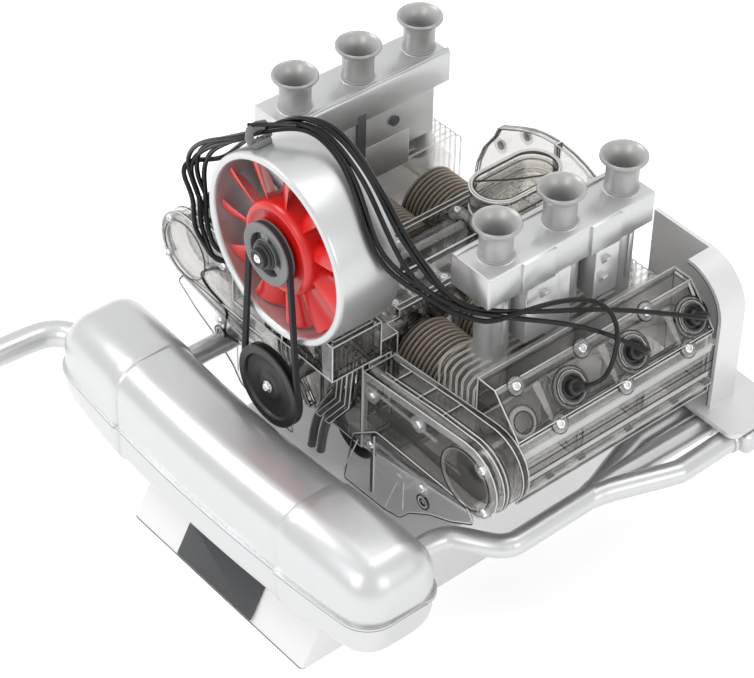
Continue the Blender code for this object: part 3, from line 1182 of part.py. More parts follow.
def build():
    """Builds every part of the model."""
    display_base()
    for label, side in (("left", -1), ("right", 1)):
        case_half(f"crankcase_{label}", side)
        cylinder_head(f"cylinder_head_{label}", side)
        cam_housing(f"cam_housing_{label}", side)
        valve_cover(f"valve_cover_{label}", side)
        chain_housing(f"chain_housing_{label}", side)
        chain_y = -CHAIN_RIGHT_Y if side > 0 else -CHAIN_LEFT_Y
        timing_chain(f"timing_chain_{label}", side, chain_y)
        camshaft(f"camshaft_{label}", side, chain_y)
        intake_manifold(f"intake_manifold_{label}", side)
        exhaust_manifold(f"exhaust_manifold_{label}", side)
    number = 0
    for label, side in (("left", -1), ("right", 1)):
        for station, angle_deg in zip(STATIONS, REST_ANGLES_DEG):
            number += 1
            cylinder(f"cylinder_{number}", side, station)
            trumpet(f"trumpet_{number}", side, station)
            piston(f"piston_{number}", side, station, angle_deg)
            conrod(f"conrod_{number}", side, station, angle_deg)
    crankshaft()
    finish(pulley("crank_pulley", CRANK_PULLEY_RADIUS, NOSE_RADIUS + GAP, 0.0), "black_plastic")
    fan_housing()
    fan()
    fan_pulley()
    belt = band("fan_belt", (0.0, 0.0), CRANK_GROOVE, (0.0, FAN_HEIGHT), FAN_GROOVE, BELT_THICKNESS, BELT_Y,
                BELT_WIDTH, 10)
    finish(belt, "belt_rubber")
    breather_box()
    muffler()
    rear_shroud()
    ignition_harness()


build()
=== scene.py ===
"""Looks of the flat six display model: a clear quarter-scale engine kit on its white plinth.

All shapes below are worked out in millimetres from the crank axis: X across the banks, Y from the
fan end (minus) to the clutch end (plus), Z up. piece() takes them to metres over the standing face.
"""

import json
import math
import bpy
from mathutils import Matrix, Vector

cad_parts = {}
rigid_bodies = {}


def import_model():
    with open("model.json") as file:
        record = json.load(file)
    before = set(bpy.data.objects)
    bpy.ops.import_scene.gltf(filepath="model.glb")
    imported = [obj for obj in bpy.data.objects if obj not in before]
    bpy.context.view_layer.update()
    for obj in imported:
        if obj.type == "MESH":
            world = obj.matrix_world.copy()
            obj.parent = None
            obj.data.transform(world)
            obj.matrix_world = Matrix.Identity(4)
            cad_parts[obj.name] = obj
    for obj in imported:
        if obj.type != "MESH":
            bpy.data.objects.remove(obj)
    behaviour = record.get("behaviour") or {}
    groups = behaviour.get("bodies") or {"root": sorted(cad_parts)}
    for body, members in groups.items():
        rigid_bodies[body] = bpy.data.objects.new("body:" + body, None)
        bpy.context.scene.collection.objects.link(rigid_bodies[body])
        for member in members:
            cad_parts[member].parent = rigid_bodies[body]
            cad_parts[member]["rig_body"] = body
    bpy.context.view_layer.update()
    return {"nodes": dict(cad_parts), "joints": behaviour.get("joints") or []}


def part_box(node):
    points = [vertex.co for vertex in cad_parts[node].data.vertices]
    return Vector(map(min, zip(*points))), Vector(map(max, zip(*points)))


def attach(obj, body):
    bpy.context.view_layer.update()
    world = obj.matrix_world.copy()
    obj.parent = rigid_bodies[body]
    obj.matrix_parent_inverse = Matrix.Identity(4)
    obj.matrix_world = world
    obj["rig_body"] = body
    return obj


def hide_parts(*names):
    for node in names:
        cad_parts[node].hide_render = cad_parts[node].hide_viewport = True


bl_info = {
    "name": "Flat Six Display Model",
    "version": (1, 0, 0),
    "blender": (4, 5, 0),
    "location": "View3D > Sidebar > Flat Six",
    "description": "Builds the surfaces and finishes of a clear flat six engine model",
    "category": "Add Mesh",
}

import bmesh
import bpy
import numpy as np
from bpy.props import FloatProperty, FloatVectorProperty, IntProperty, PointerProperty
from mathutils import Vector

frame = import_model()

JOINTS = {joint["name"]: joint for joint in frame["joints"]}
MM = 0.001
CRANK_Z = JOINTS["crankshaft_turn"]["pos_m"][2] / MM
FAN_Z = JOINTS["fan_turn"]["pos_m"][2] / MM - CRANK_Z
CAM_X = JOINTS["camshaft_right_turn"]["pos_m"][0] / MM
STATIONS = (-29.5, 0.0, 29.5)
WELLS = (-17.3, 12.2, 41.7)
INTAKE_X = 54.0
DECK_X = 46.0
ENGINE = "engine"

BASES = {
    "z": np.array([[1.0, 0.0, 0.0], [0.0, 1.0, 0.0], [0.0, 0.0, 1.0]]),
    "y": np.array([[1.0, 0.0, 0.0], [0.0, 0.0, 1.0], [0.0, 1.0, 0.0]]),
    "x": np.array([[0.0, 1.0, 0.0], [0.0, 0.0, 1.0], [1.0, 0.0, 0.0]]),
}

# The long leads: up the left side to the clip, over the fan housing, and down to the right bank
LOOPS = (
    ((-30.0, -54.0, 39.0), (-41.0, -66.0, 37.0), (-47.4, -75.1, 40.1), (-49.6, -75.3, 46.1),
     (-51.4, -76.2, 51.2), (-53.2, -77.1, 57.7), (-54.2, -77.8, 63.1), (-53.4, -77.6, 68.5),
     (-47.7, -78.2, 76.0), (-38.8, -78.5, 83.2), (-27.0, -77.8, 90.8), (-18.6, -75.4, 96.4)),
    ((-28.0, -58.0, 33.0), (-33.0, -70.0, 28.5), (-38.3, -78.4, 29.2), (-42.0, -78.3, 32.7),
     (-45.8, -77.8, 36.6), (-48.4, -77.5, 41.4), (-49.9, -76.3, 46.5), (-51.1, -75.8, 50.5),
     (-53.0, -76.7, 56.2), (-53.7, -77.0, 61.0), (-52.7, -76.2, 66.1), (-48.4, -75.2, 71.6),
     (-36.6, -77.6, 82.6), (-26.1, -77.0, 89.8), (-18.0, -74.4, 96.6)),
    ((-29.0, -60.0, 31.0), (-34.0, -72.0, 28.0), (-39.4, -78.8, 30.4), (-42.5, -79.0, 32.7),
     (-46.1, -79.4, 35.8), (-48.3, -80.1, 39.9), (-49.8, -79.2, 45.1), (-51.2, -78.4, 50.6),
     (-53.8, -79.2, 56.5), (-55.0, -79.4, 60.8), (-54.4, -77.6, 64.4), (-51.9, -72.3, 64.0),
     (-47.6, -67.0, 64.6), (-41.0, -66.0, 73.0), (-31.0, -68.0, 84.0), (-24.0, -71.0, 91.4),
     (-17.8, -73.4, 96.8)),
    ((-31.0, -56.0, 41.0), (-42.0, -67.0, 40.5), (-46.6, -73.0, 43.6), (-49.0, -73.2, 48.4),
     (-51.8, -74.2, 54.0), (-53.0, -75.0, 60.0), (-51.4, -75.4, 68.0), (-46.0, -76.2, 75.4),
     (-37.4, -76.6, 83.4), (-26.4, -75.8, 91.2), (-17.6, -73.4, 97.4)),
    ((-27.0, -56.0, 35.0), (-34.0, -68.0, 31.0), (-39.0, -76.4, 31.6), (-43.4, -76.6, 36.0),
     (-46.6, -76.0, 41.0), (-48.8, -74.4, 47.0), (-50.2, -73.6, 53.0), (-50.6, -73.6, 60.0),
     (-48.6, -73.6, 67.0), (-44.0, -73.8, 74.0), (-35.0, -74.6, 82.4), (-26.0, -74.2, 90.2),
     (-17.2, -72.6, 97.4)),
)
TRUNKS = (
    ((-11.2, -70.2, 100.1), (-6.2, -66.7, 101.6), (-0.8, -64.2, 101.6), (6.6, -63.4, 99.9), (13.9, -63.8, 97.1),
     (20.6, -65.2, 93.2), (25.8, -66.4, 88.2), (30.8, -67.7, 82.5), (34.8, -67.4, 75.3), (37.8, -64.6, 68.3),
     (41.7, -60.8, 62.9), (46.2, -55.4, 57.4), (53.0, -49.8, 52.0), (59.8, -43.8, 49.0), (64.5, -38.6, 48.0)),
    ((-10.9, -68.4, 101.3), (-5.5, -64.6, 102.9), (0.9, -62.1, 102.6), (8.4, -61.4, 101.0), (15.2, -61.5, 98.1),
     (22.3, -61.8, 94.5), (28.9, -62.1, 88.6), (33.5, -62.0, 82.7), (37.6, -61.1, 76.0), (41.0, -58.9, 68.0),
     (44.8, -55.6, 61.1), (50.6, -50.6, 55.4), (57.0, -45.0, 51.6), (64.0, -37.4, 49.8)),
    ((-10.3, -66.4, 102.7), (-4.6, -62.2, 104.4), (1.3, -59.4, 104.4), (9.1, -58.6, 103.0), (16.4, -58.3, 99.7),
     (24.3, -58.8, 95.2), (29.9, -58.6, 90.6), (34.8, -58.1, 85.2), (38.7, -57.0, 79.4), (41.3, -55.2, 73.9),
     (44.4, -52.6, 67.8), (49.4, -49.6, 59.6), (56.0, -45.2, 53.2), (62.6, -37.0, 50.8)),
    ((-10.9, -69.4, 102.2), (-5.5, -65.5, 103.2), (0.6, -62.9, 102.3), (8.4, -62.5, 100.0), (15.2, -62.9, 97.1),
     (21.5, -63.9, 93.6), (27.0, -65.0, 88.0), (31.5, -65.8, 81.9), (35.2, -65.4, 75.8), (38.5, -62.8, 69.4),
     (42.0, -59.3, 64.2), (46.2, -54.2, 58.8), (52.6, -48.8, 54.2), (58.0, -42.0, 50.6), (59.0, -36.0, 46.0),
     (54.0, -28.0, 38.0), (47.0, -21.0, 27.0)),
    ((-10.4, -67.2, 103.4), (-5.4, -63.4, 104.6), (0.8, -60.8, 104.0), (8.6, -60.0, 102.6), (15.7, -59.6, 99.4),
     (23.4, -59.8, 95.4), (29.3, -59.8, 90.2), (34.2, -59.6, 84.4), (38.0, -58.6, 78.8), (41.1, -56.1, 72.6),
     (44.0, -53.2, 65.6), (49.0, -49.0, 57.4), (55.4, -43.4, 51.8), (57.4, -36.0, 46.4), (52.0, -28.0, 38.0),
     (46.0, -19.0, 27.0)),
)
SHORT_ROUTE = (
    (26.0, -49.5, 50.5), (37.0, -49.0, 51.5), (48.0, -47.5, 51.0), (58.0, -44.5, 49.8), (64.5, -38.0, 49.0),
)
BRANCH_ROUTES = (
    ((68.5, -28.0, 50.2), (73.0, -17.0, 51.4), (78.0, -8.5, 51.2), (82.8, -3.6, 48.6),
     (87.4, -2.4, 43.6), (91.0, -4.8, 36.7), (93.2, -9.8, 30.4), (93.4, -13.6, 27.4)),
    ((69.0, -24.6, 44.4), (75.0, -13.8, 41.0), (83.0, -1.6, 35.2), (89.6, 4.6, 30.8), (93.2, 9.0, 27.6)),
    ((68.0, -22.6, 46.4), (73.4, -8.4, 43.2), (79.0, 6.0, 39.4), (85.4, 20.0, 34.6),
     (91.0, 32.6, 29.8), (93.2, 38.2, 27.4)),
)
TAIL_ROUTE = ((-80.0, -99.3), (-99.8, -98.7), (-106.8, -101.1), (-111.2, -106.7), (-112.8, -114.0),
              (-113.6, -123.5), (-114.2, -131.5))
HEADER_ROUTES = (
    ((80.1, 54.0), (80.1, 38.0), (80.2, 25.0), (80.9, 20.0), (86.2, 3.6), (89.6, -6.4), (90.9, -16.4)),
    ((90.2, 54.0), (90.0, 38.0), (89.7, 20.0), (89.5, -2.0), (91.2, -16.0)),
    ((101.8, 54.0), (101.9, 42.0), (102.2, 25.0), (101.4, 20.0), (95.4, 3.0), (92.2, -7.0), (91.6, -15.4)),
)
COLLECTOR_ROUTES = {
    1: ((91.1, -7.2), (91.3, -28.0), (91.5, -46.0), (90.6, -50.4), (87.6, -54.4), (78.6, -60.8), (75.2, -63.8),
        (73.4, -67.6), (72.5, -74.0), (72.5, -81.0)),
    -1: ((91.0, -8.0), (91.0, -20.0), (85.5, -31.5), (71.0, -42.0), (61.0, -48.5), (58.0, -57.0), (58.0, -70.0),
         (58.0, -82.4)),
}


# Shapes from formulas


def grid(points, wrap_rows=False, wrap_columns=False, caps=False):
    """A surface over a grid of points: each cell between two rows and two columns is a face."""
    rows, columns = points.shape[:2]
    index = np.arange(rows * columns).reshape(rows, columns)
    ends = [index[0, ::-1].tolist(), index[-1].tolist()] if caps else []
    if wrap_rows:
        index = np.vstack([index, index[:1]])
    if wrap_columns:
        index = np.hstack([index, index[:, :1]])
    cells = np.stack([index[:-1, :-1], index[:-1, 1:], index[1:, 1:], index[1:, :-1]], -1)
    return points.reshape(-1, 3), cells.reshape(-1, 4).tolist() + ends


def merged(*shapes):
    """Several shapes as one: their points in a row, and each face's numbers moved along."""
    starts = np.cumsum([0] + [len(points) for points, _ in shapes])
    faces = [[corner + int(start) for corner in face] for (_, cells),
             start in zip(shapes, starts) for face in cells]
    return np.concatenate([points for points, _ in shapes]), faces


def turned_to(points, axis, at):
    """Local points (a, b, height) laid on an axis's basis and moved to a place."""
    basis = BASES[axis] if isinstance(axis, str) else axis
    return points @ basis + np.array(at, float)


def lathe(profile, axis="z", at=(0.0, 0.0, 0.0), steps=48, closed=False):
    """A turned shape: radius and height of the profile, times the cosine and sine of the turn."""
    radius, height = np.array(profile, float).T
    turn = np.arange(steps) * 2 * math.pi / steps
    points = np.stack([radius[:, None] * np.cos(turn), radius[:, None] * np.sin(turn),
                       np.repeat(height[:, None], steps, 1)], -1)
    return grid(turned_to(points, axis, at), wrap_rows=closed, wrap_columns=True)


def softened(outline, radius, steps=4):
    """An outline with each corner replaced by a quadratic curve that starts a radius before it."""
    corner = np.array(outline, float)
    before, after = np.roll(corner, 1, 0) - corner, np.roll(corner, -1, 0) - corner
    reach = np.minimum(radius, 0.5 * np.minimum(np.linalg.norm(before, axis=1), np.linalg.norm(after, axis=1)))
    start = corner + before / np.linalg.norm(before, axis=1)[:, None] * reach[:, None]
    end = corner + after / np.linalg.norm(after, axis=1)[:, None] * reach[:, None]
    t = np.linspace(0, 1, steps + 1)[None, :, None]
    curve = (1 - t) ** 2 * start[:, None] + 2 * t * (1 - t) * corner[:, None] + t ** 2 * end[:, None]
    return curve.reshape(-1, 2)


def shrunk(outline, inset):
    """An outline moved inwards: each point goes along its two edges' mean normal."""
    edge = np.roll(outline, -1, 0) - outline
    area = np.sum(outline[:, 0] * np.roll(outline[:, 1], -1) - outline[:, 1] * np.roll(outline[:, 0], -1))
    normal = np.stack([-edge[:, 1], edge[:, 0]], -1) * np.sign(area)
    normal /= np.maximum(np.linalg.norm(normal, axis=1), 1e-9)[:, None]
    mean = normal + np.roll(normal, 1, 0)
    mean /= np.maximum(np.linalg.norm(mean, axis=1), 1e-9)[:, None]
    cosine = np.maximum(np.sum(mean * normal, -1), 0.5)
    return outline + mean * (inset / cosine)[:, None]


def plate(outline, low, high, edge=0.4, axis="z", at=(0.0, 0.0, 0.0)):
    """A flat outline with thickness: level copies of it, drawn in at both faces to round its edges."""
    outline = np.array(outline, float)
    edge = min(edge, (high - low) / 2.01)
    steps = ((low, 1.0), (low + 0.3 * edge, 0.3), (low + edge, 0.0), (high - edge, 0.0),
             (high - 0.3 * edge, 0.3), (high, 1.0))
    levels = [np.column_stack([shrunk(outline, edge * inset), np.full(len(outline), height)])
              for height, inset in steps]
    return grid(turned_to(np.array(levels), axis, at), wrap_columns=True, caps=True)


def bar(low, high, edge=0.4, corner=None, axis="z"):
    """A box between two corners with rounded edges, as a plate across one axis."""
    low, high = np.array(low, float), np.array(high, float)
    order = {"z": (0, 1, 2), "y": (0, 2, 1), "x": (1, 2, 0)}[axis]
    (a0, b0, h0), (a1, b1, h1) = low[list(order)], high[list(order)]
    outline = softened([(a0, b0), (a1, b0), (a1, b1), (a0, b1)], edge if corner is None else corner)
    return plate(outline, h0, h1, edge, axis)


def curved(points, steps):
    """A Catmull-Rom curve through the points: each stretch is a cubic of its four nearest points."""
    knots = np.array(points, float)
    knots = np.vstack([2 * knots[0] - knots[1], knots, 2 * knots[-1] - knots[-2]])
    a, b, c, d = (knots[i:len(knots) - 3 + i, None] for i in range(4))
    t = (np.arange(steps) / steps)[None, :, None]
    path = 0.5 * (2 * b + (c - a) * t + (2 * a - 5 * b + 4 * c - d) * t ** 2 + (3 * b - a - 3 * c + d) * t ** 3)
    return np.vstack([path.reshape(-1, knots.shape[1]), knots[-2]])


def sweep(path, section, closed=False):
    """A section carried along a path: its two coordinates lie on the path's normal and binormal."""
    path = np.array(path, float)
    step = np.roll(path, -1, 0) - np.roll(path, 1, 0)
    if not closed:
        step[0], step[-1] = path[1] - path[0], path[-1] - path[-2]
    along = step / np.linalg.norm(step, axis=1)[:, None]
    steady = np.linalg.svd(along, full_matrices=True)[2][-1]
    side = np.cross(along, steady)
    side /= np.linalg.norm(side, axis=1)[:, None]
    lift = np.cross(side, along)
    section = np.array(section, float)
    if section.ndim == 2:
        section = np.repeat(section[None], len(path), 0)
    points = path[:, None] + section[..., :1] * side[:, None] + section[..., 1:] * lift[:, None]
    return grid(points, wrap_rows=closed, wrap_columns=True, caps=not closed)


def ring_of(radius, sides=14):
    """A circle as section points."""
    turn = np.arange(sides) * 2 * math.pi / sides
    return np.stack([radius * np.cos(turn), radius * np.sin(turn)], -1)


def tube(path, radius, sides=14):
    """A round tube along a path, with one radius or one for each point of the path."""
    radius = np.broadcast_to(np.array(radius, float), (len(path),))
    return sweep(path, ring_of(1.0, sides)[None] * radius[:, None, None])


def arc(centre, radius, start, end, steps):
    """Points along an arc between two angles in degrees."""
    turn = np.radians(np.linspace(start, end, steps + 1))
    return np.stack([centre[0] + radius * np.cos(turn), centre[1] + radius * np.sin(turn)], -1)


def band_line(near, near_radius, far, far_radius, steps=24):
    """The closed line stretched round two circles: an arc on each, joined by the outer tangents."""
    across, up = far[0] - near[0], far[1] - near[1]
    heading = math.degrees(math.atan2(up, across))
    spread = math.degrees(math.acos((near_radius - far_radius) / math.hypot(across, up)))
    return np.vstack([arc(far, far_radius, heading - spread, heading + spread, steps),
                      arc(near, near_radius, heading + spread, heading + 360 - spread, steps)])


def even(line, count):
    """A closed line read at a number of equal steps along its length."""
    loop = np.vstack([line, line[:1]])
    length = np.concatenate([[0], np.cumsum(np.linalg.norm(np.diff(loop, axis=0), axis=1))])
    at = np.linspace(0, length[-1], count, endpoint=False)
    return np.stack([np.interp(at, length, loop[:, k]) for k in range(loop.shape[1])], -1)


def mirrored(points, side):
    """Points of the right bank taken to the left bank where side is minus one."""
    return np.array(points, float) * ([side] + [1] * (np.shape(points)[-1] - 1))


def flipped(shape, side):
    """A shape of the right bank, or its mirror image."""
    points, faces = shape
    return mirrored(points, side), faces


def banked(shapes, side):
    """Several shapes of the right bank as one, or their mirror image."""
    return flipped(merged(*shapes), side)


# Finishes

# Noise scales of the mottling, the grain and a clear part's flow marks, the grain's depth in metres, and how
# rough the flow marks get and how early a clear part's rim colour sets in
MOTTLE_SCALE = 60.0
GRAIN_SCALE = 1500.0
FLOW_SCALE = 40.0
GRAIN_DEPTH = 0.0002
FLOW_ROUGHNESS = 0.03
RIM_BLEND = 0.3


def micro_group():
    """Node group: soft mottling and fine grain from two noises over Object coordinates."""
    name = "moulded_grain"
    if name in bpy.data.node_groups:
        return bpy.data.node_groups[name]
    tree = bpy.data.node_groups.new(name, "ShaderNodeTree")
    for label, value in (("Mottle Scale", MOTTLE_SCALE), ("Grain Scale", GRAIN_SCALE)):
        tree.interface.new_socket(label, in_out="INPUT", socket_type="NodeSocketFloat").default_value = value
    for label in ("Mottle", "Grain"):
        tree.interface.new_socket(label, in_out="OUTPUT", socket_type="NodeSocketFloat")
    start, end = tree.nodes.new("NodeGroupInput"), tree.nodes.new("NodeGroupOutput")
    place = tree.nodes.new("ShaderNodeTexCoord")
    for label, detail in (("Mottle", 3.0), ("Grain", 2.0)):
        noise = tree.nodes.new("ShaderNodeTexNoise")
        set_inputs(noise, Detail=detail)
        tree.links.new(place.outputs["Object"], noise.inputs["Vector"])
        tree.links.new(start.outputs[f"{label} Scale"], noise.inputs["Scale"])
        tree.links.new(noise.outputs["Fac"], end.inputs[label])
    return tree


def new_material(name):
    """An empty node material with its Principled shader."""
    material = bpy.data.materials.new(name)
    material.use_nodes = True
    return material, material.node_tree, material.node_tree.nodes["Principled BSDF"]


def set_inputs(node, **values):
    """Sets a node's inputs by their names, where an underscore stands for a space."""
    for label, value in values.items():
        node.inputs[label.replace("_", " ")].default_value = value


def finish(name, colour, roughness, metallic=0.0, shade=0.92, spread=0.06, grain=GRAIN_SCALE, bump=0.05,
           **sockets):
    """A moulded or painted finish: mottled colour and roughness, with a fine grain as bump."""
    if name in bpy.data.materials:
        return bpy.data.materials[name]
    material, tree, shader = new_material(name)
    set_inputs(shader, Metallic=metallic, **sockets)
    group = tree.nodes.new("ShaderNodeGroup")
    group.node_tree = micro_group()
    set_inputs(group, Mottle_Scale=MOTTLE_SCALE, Grain_Scale=grain)
    blend = tree.nodes.new("ShaderNodeMix")
    blend.data_type = "RGBA"
    set_inputs(blend, A=(*[channel * shade for channel in colour], 1.0), B=(*colour, 1.0))
    tree.links.new(group.outputs["Mottle"], blend.inputs["Factor"])
    tree.links.new(blend.outputs["Result"], shader.inputs["Base Color"])
    rough = tree.nodes.new("ShaderNodeMapRange")
    set_inputs(rough, From_Min=0.3, From_Max=0.7, To_Min=roughness - spread / 2, To_Max=roughness + spread / 2)
    tree.links.new(group.outputs["Mottle"], rough.inputs["Value"])
    tree.links.new(rough.outputs["Result"], shader.inputs["Roughness"])
    relief = tree.nodes.new("ShaderNodeBump")
    set_inputs(relief, Strength=bump, Distance=GRAIN_DEPTH)
    tree.links.new(group.outputs["Grain"], relief.inputs["Height"])
    tree.links.new(relief.outputs["Normal"], shader.inputs["Normal"])
    return material


def clear_finish(name, tint, rim, alpha, ior=1.14, **sockets):
    """Clear plastic: its colour deepens where it is seen along its surface, and flow marks bend its gloss."""
    if name in bpy.data.materials:
        return bpy.data.materials[name]
    material, tree, shader = new_material(name)
    set_inputs(shader, Transmission_Weight=1.0, IOR=ior, Alpha=alpha, **sockets)
    weight = tree.nodes.new("ShaderNodeLayerWeight")
    set_inputs(weight, Blend=RIM_BLEND)
    mix = tree.nodes.new("ShaderNodeMix")
    mix.data_type = "RGBA"
    set_inputs(mix, A=(*tint, 1.0), B=(*rim, 1.0))
    tree.links.new(weight.outputs["Facing"], mix.inputs["Factor"])
    tree.links.new(mix.outputs["Result"], shader.inputs["Base Color"])
    group = tree.nodes.new("ShaderNodeGroup")
    group.node_tree = micro_group()
    set_inputs(group, Mottle_Scale=FLOW_SCALE)
    rough = tree.nodes.new("ShaderNodeMapRange")
    set_inputs(rough, To_Min=0.0, To_Max=FLOW_ROUGHNESS)
    tree.links.new(group.outputs["Mottle"], rough.inputs["Value"])
    tree.links.new(rough.outputs["Result"], shader.inputs["Roughness"])
    material.surface_render_method = "BLENDED"
    return material


def look(name):
    """The named finish, made from the scene's colours the first time it is asked for."""
    tones = bpy.context.scene.flat_six_colours
    makers = {
        "silver": lambda: finish("silver_paint", tones.silver, 0.32, 0.75, shade=0.95, grain=2600.0, bump=0.06),
        "clear": lambda: clear_finish("smoky_clear_plastic", tones.clear, tones.clear_edge, 0.85,
                                      Coat_Weight=1.0, Coat_Roughness=0.02),
        "inner": lambda: clear_finish("inner_clear_plastic", (0.93, 0.92, 0.9), tones.clear_edge, 0.17,
                                      ior=1.05),
        "oval": lambda: clear_finish("breather_clear_plastic", (0.93, 0.905, 0.86), tones.clear_edge, 0.5,
                                     ior=1.1),
        "panel": lambda: clear_finish("frosted_clear_panel", (0.80, 0.80, 0.84), (0.45, 0.44, 0.46), 0.5,
                                      ior=1.05),
        # Painted highlight: pale bands along the camshaft housings that stand for glints on the clear plastic
        "painted_glint": lambda: finish("clear_painted_highlight_strip", (0.86, 0.86, 0.85), 0.15, shade=0.85, bump=0.02,
                                Alpha=0.6),
        "smoke": lambda: finish("smoked_tube", (0.12, 0.115, 0.11), 0.15, shade=0.8, bump=0.02, Alpha=0.9),
        # A lit copy of the silver paint, lighter and less metallic, for the rear shroud: it paints brightness
        # onto the shroud's shaded inner face
        "lit_silver_copy": lambda: finish("silver_paint_lit_copy", (0.77, 0.77, 0.77), 0.36, 0.35, shade=0.95, grain=2600.0,
                                bump=0.06),
        # Painted highlight: the pale finish of the beads and lines along clear parts' edges
        "edge_light": lambda: finish("clear_edge_painted_highlight", (0.88, 0.88, 0.86), 0.12, shade=0.9, bump=0.02,
                                     Alpha=0.85),
        # Painted shade: the near-black finish of the lines beneath clear parts' ridges and in their hollows
        "edge_dark": lambda: finish("clear_edge_painted_shade", (0.045, 0.04, 0.035), 0.2, shade=0.8, bump=0.02,
                                    Alpha=0.8),
        "rib": lambda: finish("clear_rib", (0.85, 0.84, 0.82), 0.08, shade=0.9, bump=0.02, Alpha=0.2),
        "red": lambda: finish("fan_red_plastic", tones.fan, 0.3, shade=0.9, Coat_Weight=0.2,
                              Coat_Roughness=0.1),
        "trumpet": lambda: finish("trumpet_grey_plastic", tones.trumpet, 0.36, 0.3, shade=0.9),
        "pulley": lambda: finish("pulley_grey_plastic", tones.pulley, 0.42, 0.3),
        "black": lambda: finish("black_plastic", tones.black, 0.28, shade=0.7, Specular_IOR_Level=0.25),
        "lead": lambda: finish("lead_black_sheath", tones.black, 0.22, shade=0.8, spread=0.04, bump=0.01,
                               Specular_IOR_Level=0.3),
        "rubber": lambda: finish("belt_rubber", tones.black, 0.6, grain=900.0, bump=0.25,
                                 Specular_IOR_Level=0.2),
        "barrel": lambda: finish("barrel_taupe_plastic", tones.barrel, 0.4, 0.2, shade=0.85),
        # Painted shade: the near-black of the gaps between the barrels' fins
        "groove": lambda: finish("barrel_fin_gap_painted_shade", (0.035, 0.028, 0.022), 0.5, shade=0.8),
        "steel": lambda: finish("plated_bright_steel", (0.50, 0.49, 0.48), 0.22, 1.0, shade=0.85, bump=0.04),
        "screw": lambda: finish("screw_zinc", (0.80, 0.81, 0.82), 0.25, 0.9, shade=0.9, bump=0.03),
        "white": lambda: finish("base_white_plastic", tones.base, 0.5, shade=0.98, grain=1200.0, bump=0.04),
        "label": lambda: finish("label_dark_grey", tones.label, 0.35, shade=0.92, bump=0.02),
        # Painted shade: dark grey for recesses, the camshaft housings' clips and the rear shroud's flange line
        "dark": lambda: finish("recess_painted_shade_grey", (0.10, 0.10, 0.11), 0.5, 0.3),
    }
    return makers[name]()


# Pieces and their helpers

# Half the thickness of the painted highlight and painted shade lines along clear edges, and the least turn of
# such an edge
PAINTED_HIGHLIGHT_LINE = 0.24
PAINTED_SHADE_LINE = 0.3
SHARP_TURN = 32.0

# The record's material slot of each finish; screws, the painted shade grey of clips and recesses, and the label
# have none
SLOTS = {
    **dict.fromkeys(("clear", "inner", "oval", "panel", "painted_glint", "smoke", "edge_light", "edge_dark", "rib"),
                    "smoky_clear"),
    **dict.fromkeys(("silver", "lit_silver_copy"), "satin_silver"), **dict.fromkeys(("black", "lead"), "black_plastic"),
    **dict.fromkeys(("barrel", "groove"), "barrel_taupe"), "red": "fan_red", "trumpet": "warm_grey",
    "pulley": "pulley_grey", "rubber": "belt_rubber", "steel": "bright_steel", "white": "white_plastic",
}


def piece(name, shape, finish_name, body=ENGINE, node=None, slot=None, sharp=38.0):
    """A finished piece of one shape or a list: points to metres, doubles merged, faces outwards."""
    points, faces = merged(*shape) if isinstance(shape, list) else shape
    mesh = bpy.data.meshes.new(name)
    mesh.from_pydata((points * MM + np.array([0.0, 0.0, CRANK_Z * MM])).tolist(), [], faces)
    shell = bmesh.new()
    shell.from_mesh(mesh)
    bmesh.ops.remove_doubles(shell, verts=shell.verts, dist=2e-6)
    bmesh.ops.dissolve_degenerate(shell, edges=shell.edges, dist=1e-7)
    bmesh.ops.recalc_face_normals(shell, faces=shell.faces)
    shell.to_mesh(mesh)
    shell.free()
    return finished(name, mesh, finish_name, body, node, slot, sharp)


def finished(name, mesh, finish_name, body, node, slot, sharp, bevel=0.0):
    """The object for a mesh: its finish, shading, body and the CAD node that it stands for. The slot is worked
    out but not stored on it.
    """
    thing = bpy.data.objects.new(name, mesh)
    bpy.context.scene.collection.objects.link(thing)
    mesh.materials.clear()
    mesh.materials.append(look(finish_name))
    mesh.shade_smooth()
    mesh.set_sharp_from_angle(angle=math.radians(sharp))
    if bevel:
        edge = thing.modifiers.new("rounded_edges", "BEVEL")
        edge.width = bevel * MM
        edge.segments = 2
        edge.limit_method = "ANGLE"
        edge.angle_limit = math.radians(32)
        edge.harden_normals = True
    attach(thing, body)
    if node:
        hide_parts(node)
    slot = slot or SLOTS.get(finish_name)
    return thing


def cad_copy(name, node, finish_name, bevel=0.3):
    """A CAD node's solid with its triangles merged into flat faces and its edges rounded."""
    source = frame["nodes"][node]
    mesh = source.data.copy()
    mesh.name = name
    shell = bmesh.new()
    shell.from_mesh(mesh)
    bmesh.ops.remove_doubles(shell, verts=shell.verts, dist=1e-6)
    bmesh.ops.dissolve_limit(shell, angle_limit=math.radians(1.0), verts=shell.verts, edges=shell.edges)
    shell.to_mesh(mesh)
    shell.free()
    return finished(name, mesh, finish_name, source["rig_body"], node, None, 30.0, bevel)


